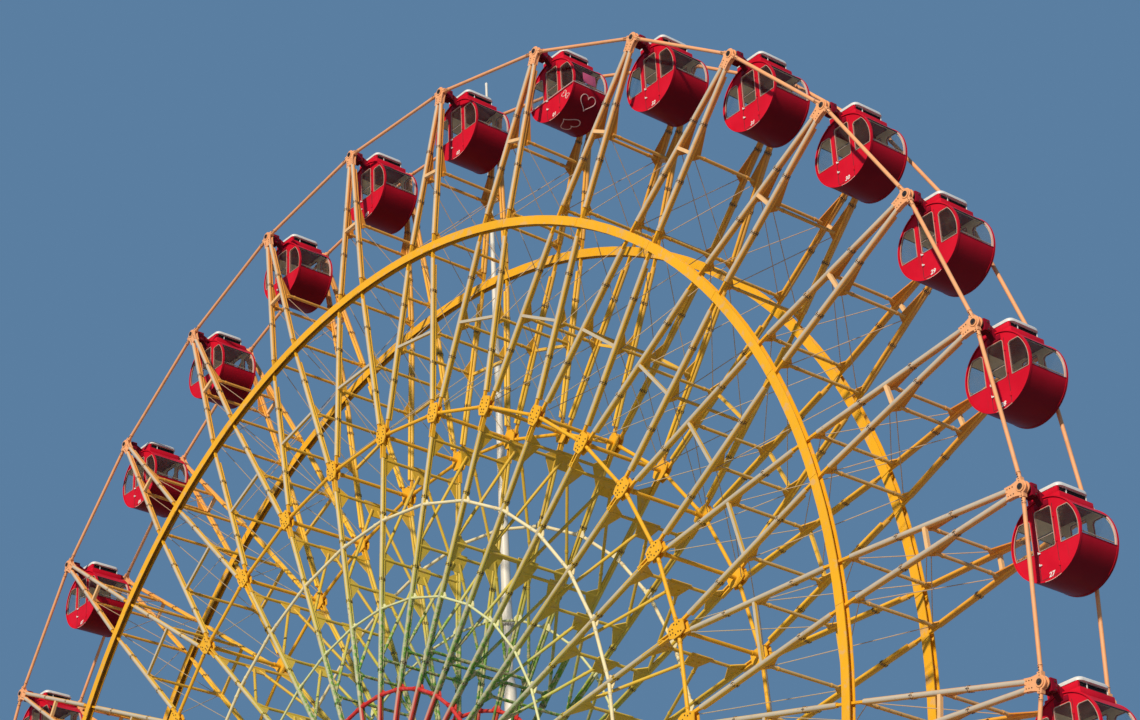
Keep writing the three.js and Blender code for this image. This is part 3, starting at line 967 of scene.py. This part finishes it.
def buildHub():
    spool, clamps, axle = newMeshes(3)
    outer = truss["innerHalfGap"] + hub["faceReach"]
    profile = [(r, depth - outer) for r, depth in hub["profile"]]
    profile += [(r, -y) for r, y in reversed(profile)]
    turnProfile(spool, [(0, y, r) for r, y in profile], (0, 0, 0), (0, 1, 0), 96)
    piece = finishWheelPiece(spool, "hubSpool", "cream", False)
    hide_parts("hub")
    for side in (-1, 1):
        for offset in (-hub["clampOffset"], hub["clampOffset"]):
            plate(clamps, hub["clamp"], 0.03, columns(spokeAcross, spokeUp, (0, -1, 0),
                                                      spokePoint(side, hub["clampU"]) + axial(side * offset)))
        for level in hub["clampBolts"]:
            at = spokePoint(side, hub["clampU"] + level) + axial(side * (hub["clampOffset"] + 0.01))
            tube(clamps, at, at + axial(side * 0.04), 0.028, 6)
        tube(axle, axial(side * (outer - 0.02)), axial(side * hub["axleEnd"]), hub["axleRadius"], 48)
        tube(axle, axial(side * (outer - 0.02)), axial(side * (outer + 0.12)), hub["collarRadius"], 48)
        boltRing(axle, axial(side * (outer + 0.11)), (0, 0, 1), (1, 0, 0), hub["boltCircle"], hub["bolts"],
                 axial(0), axial(side * 0.05), 0.035)
    finishWheelPiece(clamps, "hubClamps", "cream")
    piece = finishWheelPiece(axle, "axleShafts", "steel", False)
    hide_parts("front_axle", "rear_axle")


buildRim()
buildLegs()
buildCrossFrames()
buildArches()
buildGussets()
buildSpokes()
buildRods()
buildHub()
print("wheel built")


# Cabins, about the pin that each one hangs on
cabin = {
    "radius": 0.985,
    "sheetRadius": 0.976,
    "sheet": 0.02,
    "centre": -1.095,
    "front": -0.51,
    "back": 0.69,
    "roofEdge": 56.4,  # degrees from the top to where the roof ends and the curved window starts
    "sillEdge": 103.2,
    "lip": 0.035,
    "lipStand": 0.03,
    "discRadius": 0.957,
    "discThickness": 0.03,
    "glass": (0.963, 0.969),
    # where round the lip the painted highlight lies, in degrees from the top
    "lipHighlightBand": (162, 190),
}
cabinFaces = ((cabin["front"], -1), (cabin["back"], 1))
cabinFinishes = ["red", "deepRed", "white", "black", "trim", "lining", "pink", "steel", "bench"]


def addTo(shell, part, finish):
    bmesh.ops.recalc_face_normals(part, faces=part.faces[:])
    for face in part.faces:
        face.material_index = cabinFinishes.index(finish)
    joinInto(shell, part)


# A ring or a curved sheet about the barrel's axis, from start to end in degrees from the top
def band(inner, outer, front, back, start=0.0, end=360.0, steps=48):
    bm = bmesh.new()
    middle = Vector((0, 0, cabin["centre"]))
    turn = Matrix.Rotation(math.radians(start), 4, "Y")
    places = ((inner, front), (outer, front), (outer, back), (inner, back))
    corners = [bm.verts.new(middle + turn @ Vector((0, y, r))) for r, y in places]
    edges = [bm.edges.new((corners[n], corners[(n + 1) % 4])) for n in range(4)]
    full = end - start == 360
    bmesh.ops.spin(bm, geom=corners + edges, cent=middle, axis=(0, 1, 0), angle=math.radians(end - start),
                   steps=steps, use_merge=full)
    if not full:
        bmesh.ops.holes_fill(bm, edges=[edge for edge in bm.edges if edge.is_boundary], sides=4)
    return bm


def cabinBarrel(shell):
    outer, inner = cabin["sheetRadius"], cabin["sheetRadius"] - cabin["sheet"]
    front, back = cabin["front"], cabin["back"]
    roofEdge, sillEdge = cabin["roofEdge"], cabin["sillEdge"]
    for low, high, steps, liningSteps in ((-roofEdge, roofEdge, 20, 20), (sillEdge, 360 - sillEdge, 56, 28)):
        addTo(shell, band(inner, outer, front, back, low, high, steps), "red")
        addTo(shell, band(inner - 0.012, inner - 0.002, front + 0.02, back - 0.02, low, high, liningSteps), "lining")
    # gutter, sill and the trims at the two ends of the curved window
    for hand in (-1, 1):
        for near, far, grow, y0, y1, steps, finish in (
                (roofEdge - 0.9, roofEdge + 0.9, 0.006, front + 0.01, back - 0.01, 1, "black"),
                (sillEdge - 0.9, sillEdge + 0.5, 0.004, front + 0.01, back - 0.01, 1, "deepRed"),
                (roofEdge + 1.2, sillEdge - 1.2, 0.004, back - 0.075, back - 0.03, 10, "pink"),
                (roofEdge + 1.2, sillEdge - 1.2, 0.002, front + 0.004, front + 0.03, 10, "red")):
            low, high = sorted((hand * near, hand * far))
            addTo(shell, band(inner, outer + grow, y0, y1, low, high, steps), finish)


windows = {
    "sill": -1.32,
    "doorHalfWidth": 0.235,
    "doorTop": -0.37,
    "corner": 0.05,
    "post": 0.395,
    "sideTop": -0.50,
    "arc": 0.915,
    "frame": 0.008,
    "divider": -1.00,
}


def doorWindow(grow):
    top, low = windows["doorTop"] + grow, windows["sill"] - grow
    return roundedBox((top + low) / 2, windows["doorHalfWidth"] + grow, (top - low) / 2, windows["corner"] + grow)


# The window between a post and the barrel's edge
def sideWindow(hand, grow):
    radius, inner, corner = windows["arc"] + grow, windows["post"] - grow, windows["corner"]
    top = windows["sideTop"] + grow - cabin["centre"]
    low = windows["sill"] - grow - cabin["centre"]
    first, last = math.acos(top / radius), math.acos(low / radius)
    arc = [first + (last - first) * n / 14 for n in range(15)]
    outline = [(inner, low), (inner, top - corner), (inner + corner, top)]
    outline += [(radius * math.sin(turn), radius * math.cos(turn)) for turn in arc]
    return [(hand * x, z + cabin["centre"]) for x, z in outline]


def windowOutlines(grow=0.0):
    return [doorWindow(grow), sideWindow(-1, grow), sideWindow(1, grow)]


# The two round end walls, each with a lip, a painted face, a lining and framed windows
def cabinEnds(shell):
    radius, lip, stand, thick = cabin["radius"], cabin["lip"], cabin["lipStand"], cabin["discThickness"]
    for face, outward in cabinFaces:
        low, high = sorted((face - outward * 0.03, face + outward * stand))
        addTo(shell, band(radius - lip, radius, low, high, steps=64), "red")
        # a thin pale pink band low on the lip: a painted highlight
        low, high = sorted((face + outward * (stand - 0.004), face + outward * (stand + 0.002)))
        addTo(shell, band(radius - 0.012, radius - 0.002, low, high, *cabin["lipHighlightBand"], 10), "pink")
        middle = face - outward * thick / 2
        disc = circleOutline(cabin["discRadius"], cabin["centre"])
        addTo(shell, flatPanel([disc] + windowOutlines(), middle, thick), "red")
        disc = circleOutline(cabin["discRadius"] - 0.01, cabin["centre"])
        addTo(shell, flatPanel([disc] + windowOutlines(0.004), middle - outward * (thick / 2 + 0.006), 0.01), "lining")
        for outline, hole in zip(windowOutlines(0.004), windowOutlines(-windows["frame"])):
            addTo(shell, flatPanel([outline, hole], face + outward * 0.004, 0.02), "trim")
        width = 2 * windows["doorHalfWidth"] - 0.02
        bar, trim = newMeshes(2)
        block(bar, (0, face + outward * 0.002, windows["divider"]), (width, 0.018, 0.03), 0.004)
        block(trim, (0, face + outward * 0.004, windows["divider"] - 0.022), (width, 0.016, 0.014), 0.003)
        addTo(shell, bar, "black")
        addTo(shell, trim, "trim")


door = {
    "halfWidth": 0.275,
    "foot": -1.985,
    "middle": -1.16,
    "seamHeight": 1.66,
    "seam": 0.010,
    "handles": (-1.358, -1.640),
    "handleX": -0.225,
    "hinges": (-0.62, -1.20, -1.78),
    "hingeRadius": 0.014,
}


def cabinDoor(shell):
    seams, handles, hinges = newMeshes(3)
    y, half, seam = cabin["front"], door["halfWidth"], door["seam"]
    for x in (-half, half):
        block(seams, (x, y - 0.001, door["middle"]), (seam, 0.006, door["seamHeight"]))
    block(seams, (0, y - 0.001, door["foot"]), (2 * half, 0.006, seam))
    for z in door["handles"]:
        block(handles, (door["handleX"], y - 0.018, z), (0.055, 0.026, 0.034), 0.006)
        block(handles, (door["handleX"] - 0.020, y - 0.036, z + 0.004), (0.018, 0.026, 0.060), 0.005)
    for z in door["hinges"]:
        tube(hinges, (half + 0.010, y - 0.012, z - 0.055), (half + 0.010, y - 0.012, z + 0.055),
             door["hingeRadius"], 8)
        block(hinges, (half - 0.013, y - 0.004, z), (0.05, 0.008, 0.09), 0.003)
    addTo(shell, seams, "black")
    addTo(shell, handles, "white")
    addTo(shell, hinges, "red")


inside = {
    "clear": 0.05,  # from the end walls
    "floorZ": -1.84,
    "floorWidth": 1.10,
    "seatX": 0.72,
    "seatZ": -1.40,
    "seatWidth": 0.30,
    "skirtHeight": 0.36,
    "railX": 0.90,
    "railZ": -1.22,
    "railRadius": 0.014,
}


def cabinInside(shell):
    floor, seats, rails = newMeshes(3)
    front, back = cabin["front"] + inside["clear"], cabin["back"] - inside["clear"]
    middle, long = (front + back) / 2, back - front
    block(floor, (0, middle, inside["floorZ"]), (inside["floorWidth"], long, 0.04), 0.005)
    for hand in (-1, 1):
        x, z = inside["seatX"], inside["seatZ"]
        block(seats, (hand * x, middle, z), (inside["seatWidth"], long, 0.05), 0.018)
        block(seats, (hand * (x - 0.11), middle, z - 0.20), (0.03, long, inside["skirtHeight"]), 0.006)
        block(seats, (hand * (x - 0.12), middle, z - 0.02), (0.05, long, 0.06), 0.02)
        x, z = hand * inside["railX"], inside["railZ"]
        tube(rails, (x, front, z), (x, back, z), inside["railRadius"], 8)
    addTo(shell, floor, "lining")
    addTo(shell, seats, "bench")
    addTo(shell, rails, "trim")


roof = {
    "halfWidth": 0.50,
    "front": -0.47,
    "back": 0.65,
    "foot": -0.30,
    "shoulder": -0.10,
    "louvreHalfWidth": 0.41,
    "slats": 4,
    "hatLow": 0.06,
    "hatHalfWidth": 0.50,
    "hatFront": -0.45,
    "hatBack": 0.56,
    "hatCorner": 0.14,
    "hatSteps": ((0.045, 1.0), (0.045, 0.955), (0.025, 0.86)),  # rise, and how far the outline draws in
    "posts": (-0.15, 0.50),
}


# A shallow pan turned upside down: round corners, and sides that lean in to a flat top
def hatShell():
    bm = bmesh.new()
    middle = (roof["hatFront"] + roof["hatBack"]) / 2
    outline = roundedBox(0, roof["hatHalfWidth"], (roof["hatBack"] - roof["hatFront"]) / 2, roof["hatCorner"])
    base = bm.faces.new([bm.verts.new((x, middle + y, roof["hatLow"])) for x, y in outline])
    for rise, drawn in roof["hatSteps"]:
        made = bmesh.ops.extrude_face_region(bm, geom=[base])["geom"]
        verts = [item for item in made if isinstance(item, bmesh.types.BMVert)]
        bmesh.ops.translate(bm, vec=(0, 0, rise), verts=verts)
        bmesh.ops.scale(bm, vec=(drawn, drawn, 1), space=Matrix.Translation(axial(-middle)), verts=verts)
        base = next(item for item in made if isinstance(item, bmesh.types.BMFace))
    return bm


def cabinRoof(shell):
    base, core = newMeshes(2)
    low, high, half = roof["shoulder"], roof["hatLow"] - roof["shoulder"], roof["louvreHalfWidth"]
    middle = (roof["front"] + roof["back"]) / 2
    block(base, (0, middle, (low + roof["foot"]) / 2),
          (2 * roof["halfWidth"], roof["back"] - roof["front"], low - roof["foot"]), 0.02)
    block(base, (0, roof["hatFront"] + 0.05, low + high / 2), (2 * half + 0.04, 0.07, high + 0.02), 0.008)
    addTo(shell, base, "red")
    # the dark louvres under the hat
    hatMiddle, hatLong = (roof["hatFront"] + roof["hatBack"]) / 2, roof["hatBack"] - roof["hatFront"]
    block(core, (0, hatMiddle, low + high / 2), (2 * half - 0.08, hatLong - 0.10, high))
    for number in range(roof["slats"]):
        z = low + high * (number + 0.5) / roof["slats"]
        for hand in (-1, 1):
            block(core, (hand * (half - 0.02), hatMiddle, z), (0.06, hatLong - 0.09, 0.014))
        block(core, (0, roof["hatBack"] - 0.04, z), (2 * half - 0.06, 0.05, 0.014))
    addTo(shell, core, "black")
    hat = hatShell()
    for hand in (-1, 1):
        for y in roof["posts"]:
            block(hat, (hand * (half + 0.025), y, low + high / 2), (0.022, 0.022, high + 0.01), 0.004)
    addTo(shell, hat, "white")


hanger = {
    "outer": 0.93,
    "inner": 0.72,
    "width": 0.27,
    "height": 0.31,
    "armThickness": 0.15,
    "saddle": (0.40, 0.024, 0.13),
    "shaftRadius": 0.07,
    "shaft": (0.97, 0.60),
    "collarRadius": 0.12,
    "collar": (0.945, 0.925),
}


# At both ends, a housing on the pin, and the arm that carries the roof from it
def cabinHangers(shell):
    housings, shaft = newMeshes(2)
    outer, inner = hanger["outer"], hanger["inner"]
    for face, outward in cabinFaces:
        block(housings, (0, outward * (outer + inner) / 2, -0.035), (hanger["width"], outer - inner, hanger["height"]),
              0.02)
        edge = roof["front"] if outward < 0 else roof["back"]
        tip = outward * (inner - 0.03)
        outline = [(tip, 0.06), (edge, -0.045), (edge - outward * 0.10, -0.16), (edge, -0.33),
                   (edge + outward * 0.03, -0.33), (tip, -0.17)]
        plate(housings, outline, hanger["armThickness"], columns((0, 1, 0), (0, 0, 1), (1, 0, 0), (0, 0, 0)))
        block(housings, (0, face + outward * 0.012, -0.27), hanger["saddle"], 0.006)
        for (far, near), radius, sides in ((hanger["shaft"], hanger["shaftRadius"], 16),
                                           (hanger["collar"], hanger["collarRadius"], 20)):
            tube(shaft, axial(outward * far), axial(outward * near), radius, sides)
        for hand in (-1, 1):
            for level in (-0.15, 0.04):
                at = Vector((hand * hanger["width"] / 2, outward * 0.82, level))
                tube(shaft, at, at + Vector((hand * 0.02, 0, 0)), 0.02, 6)
    addTo(shell, housings, "deepRed")
    addTo(shell, shaft, "steel")


def cabinGlass():
    glass = bmesh.new()
    for hand in (-1, 1):
        low, high = sorted((hand * cabin["roofEdge"], hand * cabin["sillEdge"]))
        joinInto(glass, band(*cabin["glass"], cabin["front"] + 0.01, cabin["back"] - 0.01, low, high, 12))
    for face, outward in cabinFaces:
        for outline in windowOutlines(-0.004):
            joinInto(glass, flatPanel([outline], face - outward * 0.012, 0.006))
    return glass


numbers = {
    "size": 0.155,
    "slant": 0.25,
    "place": (0.02, -1.985),
    "thickness": 0.003,
    "weight": 0.004,
}


def numberMesh(text):
    curve = bpy.data.curves.new("number", "FONT")
    curve.body = text
    curve.size = numbers["size"]
    curve.shear = numbers["slant"]
    curve.align_x = "CENTER"
    curve.extrude = numbers["thickness"]
    curve.offset = numbers["weight"]
    curve.resolution_u = 3
    x, z = numbers["place"]
    return curveForm(curve, Matrix.Translation((x, cabin["front"] - 0.004, z)) @ Matrix.Rotation(math.pi / 2, 4, "X"))


# Painted on one cabin alone
hearts = {
    "curved": ((128, 0.10, 0.26, 0.0), (178, 0.02, 0.30, 1.9)),  # degrees from the top, y, size, turn
    "curvedLine": 0.013,
    "flat": ((0.50, -1.50, 0.105, -0.5), (0.62, -1.62, 0.085, 2.6)),  # x, z, size, turn
    "flatLine": 0.012,
    "frontLine": 0.016,
    "sideLine": 0.014,
    "panel": ((0.885, 0.12, -0.98), (0.012, 0.46, 0.34)),
}


# A heart about its own middle, turned and sized
def heartPoints(size, turn, count):
    points = []
    for n in range(count):
        t = 2 * math.pi * n / count
        x = math.sin(t) ** 3
        z = (13 * math.cos(t) - 5 * math.cos(2 * t) - 2 * math.cos(3 * t) - math.cos(4 * t)) / 16
        points.append(((x * math.cos(turn) + z * math.sin(turn)) * size,
                       (z * math.cos(turn) - x * math.sin(turn)) * size))
    return points


def addStroke(marks, points, radius, closed=True):
    curve = polyCurve([points], "3D", closed)
    curve.bevel_depth = radius
    curve.bevel_resolution = 1
    curve.use_fill_caps = True
    joinInto(marks, curveForm(curve, Matrix()))


# Heart outlines, the lines round the curved window and the rose panel behind it
def heartCabinMarks():
    marks, panel = newMeshes(2)
    front, centre = cabin["front"], cabin["centre"]
    radius = cabin["sheetRadius"] + 0.001
    for degrees, y, size, turn in hearts["curved"]:
        points = []
        for across, up in heartPoints(size, turn, 40):
            angle = math.radians(degrees) - up / radius
            points.append((radius * math.sin(angle), y + across, centre + radius * math.cos(angle)))
        addStroke(marks, points, hearts["curvedLine"])
    for x, z, size, turn in hearts["flat"]:
        points = [(x + across, front - 0.002, z + up) for across, up in heartPoints(size, turn, 28)]
        addStroke(marks, points, hearts["flatLine"])
    sill = math.radians(cabin["sillEdge"] + 0.4)
    x, z = radius * math.sin(sill), centre + radius * math.cos(sill)
    addStroke(marks, [(-x, front - 0.03, z), (x, front - 0.03, z)], hearts["frontLine"], False)
    for hand in (-1, 1):
        edge = hand * (x + 0.004)
        addStroke(marks, [(edge, front - 0.03, z), (edge, cabin["back"], z)], hearts["sideLine"], False)
    block(panel, *hearts["panel"], 0.003)
    for part, index in ((marks, 0), (panel, 1)):
        for face in part.faces:
            face.material_index = index
    joinInto(marks, panel)
    return marks


def placeCopy(template, name, finishNames, body):
    bm = template.copy()
    place = Matrix.Translation(pivots[body]) @ Matrix.Scale(modelScale, 4)
    bmesh.ops.transform(bm, matrix=place, verts=bm.verts[:])
    return toObject(bm, name, [finishes[key] for key in finishNames], body)


def buildCabins():
    shell = bmesh.new()
    for build in (cabinBarrel, cabinEnds, cabinDoor, cabinInside, cabinRoof, cabinHangers):
        build(shell)
    glass = cabinGlass()
    print("one cabin:", len(shell.faces), "faces and", len(glass.faces), "of glass")
    for name in cabinBodies:
        piece = placeCopy(shell, name + "_shell", cabinFinishes, name)
        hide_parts(name)
        placeCopy(glass, name + "_glazing", ["glass"], name)
        placeCopy(numberMesh(name[-2:]), name + "_number", ["letter"], name)
    placeCopy(heartCabinMarks(), "cabin_01_hearts", ["heart", "rosePanel"], "cabin_01")
    print("cabins built")


buildCabins()


# Tower
tower = {
    "footX": 12.4,
    "footY": 7.2,
    "headX": 0.3,
    "headY": 3.4,
    "footRadius": 0.50,
    "headRadius": 0.37,
    "cutBelowHub": 0.815,
    "joints": (0.30, 0.62, 0.88),  # shares of the way up
    "jointBolts": 20,
    "plate": 1.7,
    "plateThickness": 0.12,
    "ribs": 8,
    "rib": ((0, 0.05), (0.36, 0.05), (0.36, 0.16), (0.10, 0.62), (0, 0.62)),
    "anchorInset": 0.14,
}
towerRows = (("front", -1), ("rear", 1))


def finishTowerPiece(bm, name):
    bmesh.ops.scale(bm, vec=(modelScale,) * 3, verts=bm.verts[:])
    print(name, len(bm.faces), "faces")
    return toObject(bm, name, [finishes["tower"]], "tower")


def towerLegEnds(sideX, sideY):
    return (Vector((sideX * tower["footX"], sideY * tower["footY"], 0)),
            Vector((sideX * tower["headX"], sideY * tower["headY"], hubHeight)))


# The leaning tube with its bolted joints, cut level under the bearing and at the ground
def towerLegTube(bm, foot, head):
    tube(bm, foot, head, tower["footRadius"], 40, tower["headRadius"])
    ring = aim(foot, head).to_3x3()
    reach = (head - foot).normalized() * 0.075
    for share in tower["joints"]:
        radius = tower["footRadius"] + share * (tower["headRadius"] - tower["footRadius"])
        flanges(bm, foot, head, share, radius * 0.92, 40, 0.02)
        boltRing(bm, foot.lerp(head, share), ring.col[0], ring.col[1], radius * 1.12, tower["jointBolts"], -reach,
                 reach, 0.022)
    for height, outward in ((hubHeight - tower["cutBelowHub"], 1), (tower["plateThickness"] / 2, -1)):
        bmesh.ops.bisect_plane(bm, geom=bm.verts[:] + bm.edges[:] + bm.faces[:], plane_co=(0, 0, height),
                               plane_no=(0, 0, outward), clear_outer=True)
        bmesh.ops.holes_fill(bm, edges=[edge for edge in bm.edges if edge.is_boundary], sides=0)


# The base plate, the ribs that stiffen it and its four anchor bolts
def towerFoot(bm, foot, head):
    size, thick = tower["plate"], tower["plateThickness"]
    block(bm, (foot.x, foot.y, thick / 2), (size, size, thick), 0.02)
    lean = (head - foot) / (head - foot).z
    up = Vector((lean.x * 0.6, lean.y * 0.6, 1)).normalized()
    ribRing(bm, tower["rib"], 0.035, tower["ribs"], foot, up, tower["footRadius"] * 0.8, 0.5)
    corner = size / 2 - tower["anchorInset"]
    for x in (-corner, corner):
        for y in (-corner, corner):
            spot = foot + Vector((x, y, thick - 0.01))
            tube(bm, spot, spot + Vector((0, 0, 0.05)), 0.075, 6)
            tube(bm, spot, spot + Vector((0, 0, 0.12)), 0.035, 12)


def buildTowerLegs():
    for rowName, sideY in towerRows:
        for handName, sideX in (("left", -1), ("right", 1)):
            bm = bmesh.new()
            foot, head = towerLegEnds(sideX, sideY)
            towerLegTube(bm, foot, head)
            towerFoot(bm, foot, head)
            piece = finishTowerPiece(bm, f"{rowName}{handName.capitalize()}Leg")
            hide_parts(f"{rowName}_{handName}_leg")


ties = {
    "height": 9.0,
    "radius": 0.215,
    "joints": (0.06, 0.35, 0.65, 0.94),
    "bolts": 12,
    "gusset": ((-0.35, -0.62), (0.10, -0.62), (0.80, -0.14), (0.80, 0.14), (0.10, 0.62), (-0.05, 0.62)),
}


def buildTowerTies():
    share, radius = ties["height"] / hubHeight, ties["radius"]
    reach = Vector((0.07, 0, 0))
    for rowName, sideY in towerRows:
        bm = bmesh.new()
        left, right = (Vector.lerp(*towerLegEnds(sideX, sideY), share) for sideX in (-1, 1))
        tube(bm, left, right, radius, 32)
        for joint in ties["joints"]:
            flanges(bm, left, right, joint, radius, 32, 0.02)
            boltRing(bm, left.lerp(right, joint), (0, 1, 0), (0, 0, 1), radius * 1.18, ties["bolts"], -reach, reach,
                     0.018)
        for place, hand in ((left, 1), (right, -1)):
            plate(bm, [(x * hand, z) for x, z in ties["gusset"]], 0.05,
                  columns((1, 0, 0), (0, 0, 1), (0, -1, 0), place))
        piece = finishTowerPiece(bm, rowName + "Tie")
        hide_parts(rowName + "_tie")


bearing = {
    "halfWidth": 0.75,
    "halfLength": 0.45,
    "below": 0.80,
    "above": 0.70,
    "corner": 0.12,
    "bore": 0.43,
    "coverRadius": 0.62,
    "boltCircle": 0.53,
    "bolts": 12,
    "ear": (0.20, 0.88, 0.07),
    "rib": ((0.54, -0.72), (0.68, -0.72), (0.60, -0.10), (0.54, -0.10)),
}


def buildBearings():
    halfLength, below = bearing["halfLength"], bearing["below"]
    outer = roundedBox(hubHeight + (bearing["above"] - below) / 2, bearing["halfWidth"],
                       (bearing["above"] + below) / 2, bearing["corner"], 5)
    bore = circleOutline(bearing["bore"], hubHeight)
    rimOutline = circleOutline(bearing["coverRadius"], hubHeight)
    for rowName, sideY in towerRows:
        y = sideY * tower["headY"]
        bm = flatPanel([outer, bore], y, 2 * halfLength - 0.10)
        for face in (-1, 1):
            cover = y + face * (halfLength - 0.03)
            joinInto(bm, flatPanel([rimOutline, bore], cover, 0.06))
            boltRing(bm, Vector((0, cover, hubHeight)), (0, 0, 1), (1, 0, 0), bearing["boltCircle"], bearing["bolts"],
                     axial(0), axial(face * 0.055), 0.035, shift=0.5)
        # the split between the cap and its seat, the cap bolts and the ribs of the seat
        for hand in (-1, 1):
            for z in (0.035, -0.045):
                block(bm, (hand * 0.66, y, hubHeight + z), bearing["ear"], 0.01)
            for offset in (-0.30, 0.30):
                tube(bm, (hand * 0.69, y + offset, hubHeight + 0.06), (hand * 0.69, y + offset, hubHeight + 0.12),
                     0.06, 6)
            for face in (-1, 1):
                plate(bm, [(hand * x, z) for x, z in bearing["rib"]], 0.05,
                      columns((1, 0, 0), (0, 0, 1), (0, -1, 0), (0, y + face * (halfLength - 0.035), hubHeight)))
        block(bm, (0, y, hubHeight - below + 0.04), (2 * bearing["halfWidth"], 2 * halfLength, 0.08), 0.012)
        piece = finishTowerPiece(bm, rowName + "Bearing")
        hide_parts(rowName + "_bearing")


mast = {
    # radius, and height above the hub
    "profile": ((0.0, 0.705), (0.34, 0.705), (0.34, 0.76), (0.185, 0.79), (0.185, 5.9), (0.115, 6.35), (0.115, 7.84),
                (0.213, 7.84), (0.213, 7.895), (0.205, 7.90), (0.213, 7.905), (0.213, 7.96), (0.17, 7.96),
                (0.150, 8.5), (0.095, 17.0), (0.040, 26.70), (0.045, 26.74), (0.045, 26.80), (0.0, 26.86)),
    "joint": 7.9,
    "bolts": 16,
    "boltCircle": 0.192,
    "ribs": 8,
    "rib": ((0.17, 0.75), (0.32, 0.75), (0.32, 0.80), (0.18, 1.15), (0.17, 1.15)),
    "collars": (11.5, 15.5, 19.5, 23.3),
}


def buildMast():
    bm = bmesh.new()
    up = Vector((0, 0, 1))
    centre = Vector((0, tower["headY"], hubHeight))
    turnProfile(bm, [centre + Vector((r, 0, z)) for r, z in mast["profile"]], centre, up, 32)
    boltRing(bm, centre + up * mast["joint"], (1, 0, 0), (0, 1, 0), mast["boltCircle"], mast["bolts"], up * -0.09,
             up * 0.09, 0.014)
    ribRing(bm, mast["rib"], 0.02, mast["ribs"], centre, up)
    for level in mast["collars"]:
        radius = 0.150 - (level - 8.5) / (26.7 - 8.5) * 0.11 + 0.016  # a little wider than the taper there
        tube(bm, centre + up * (level - 0.05), centre + up * (level + 0.05), radius, 24)
    piece = finishTowerPiece(bm, "mastPole")
    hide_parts("mast")


buildTowerLegs()
buildTowerTies()
buildBearings()
buildMast()
print("tower built")

studio = {
    "floorReach": 150,
    "sunEnergy": 3.9,
    "sunAngle": 3.0,
    "sunColour": (1.0, 0.88, 0.72),
    "sunFrom": (0.51, -1.0, 0.50),
    "sky": (0.27, 0.55, 0.94),
    "skyStrength": 0.38,
}


def buildStudio():
    bm = bmesh.new()
    bmesh.ops.create_grid(bm, x_segments=1, y_segments=1, size=studio["floorReach"])
    mesh = takeMesh(bm, "studioFloor")
    mesh.materials.append(finishes["floor"])
    floor = addObject("studioFloor", mesh)
    data = bpy.data.lights.new("keySun", "SUN")
    data.energy = studio["sunEnergy"]
    data.angle = math.radians(studio["sunAngle"])
    data.color = studio["sunColour"]
    sun = addObject("keySun", data)
    sun.rotation_euler = Vector(studio["sunFrom"]).to_track_quat("Z", "Y").to_euler()
    world = bpy.data.worlds.new("studioSky")
    world.use_nodes = True
    back = world.node_tree.nodes["Background"]
    back.inputs["Color"].default_value = (*studio["sky"], 1)
    back.inputs["Strength"].default_value = studio["skyStrength"]
    bpy.context.scene.world = world
    bpy.context.scene.view_settings.view_transform = "Standard"


# Model metres and radians: low on the right, looking up at the wheel's upper half
view = {
    "place": (29.48, -22.77, 0.805),
    "heading": 0.8493,
    "tilt": 0.5173,
    "roll": -0.0535,
    "lens": 92.1,
    "sensor": 36.0,
}


def buildCamera():
    data = bpy.data.cameras.new("photoCamera")
    data.lens = view["lens"]
    data.sensor_width = view["sensor"]
    data.clip_end = 500
    camera = addObject("photoCamera", data)
    camera.matrix_world = (Matrix.Translation(view["place"]) @ Matrix.Rotation(view["heading"], 4, "Z")
                           @ Matrix.Rotation(view["tilt"] + math.pi / 2, 4, "X")
                           @ Matrix.Rotation(view["roll"], 4, "Z"))
    bpy.context.scene.camera = camera


buildStudio()
buildCamera()
print("studio and camera ready")
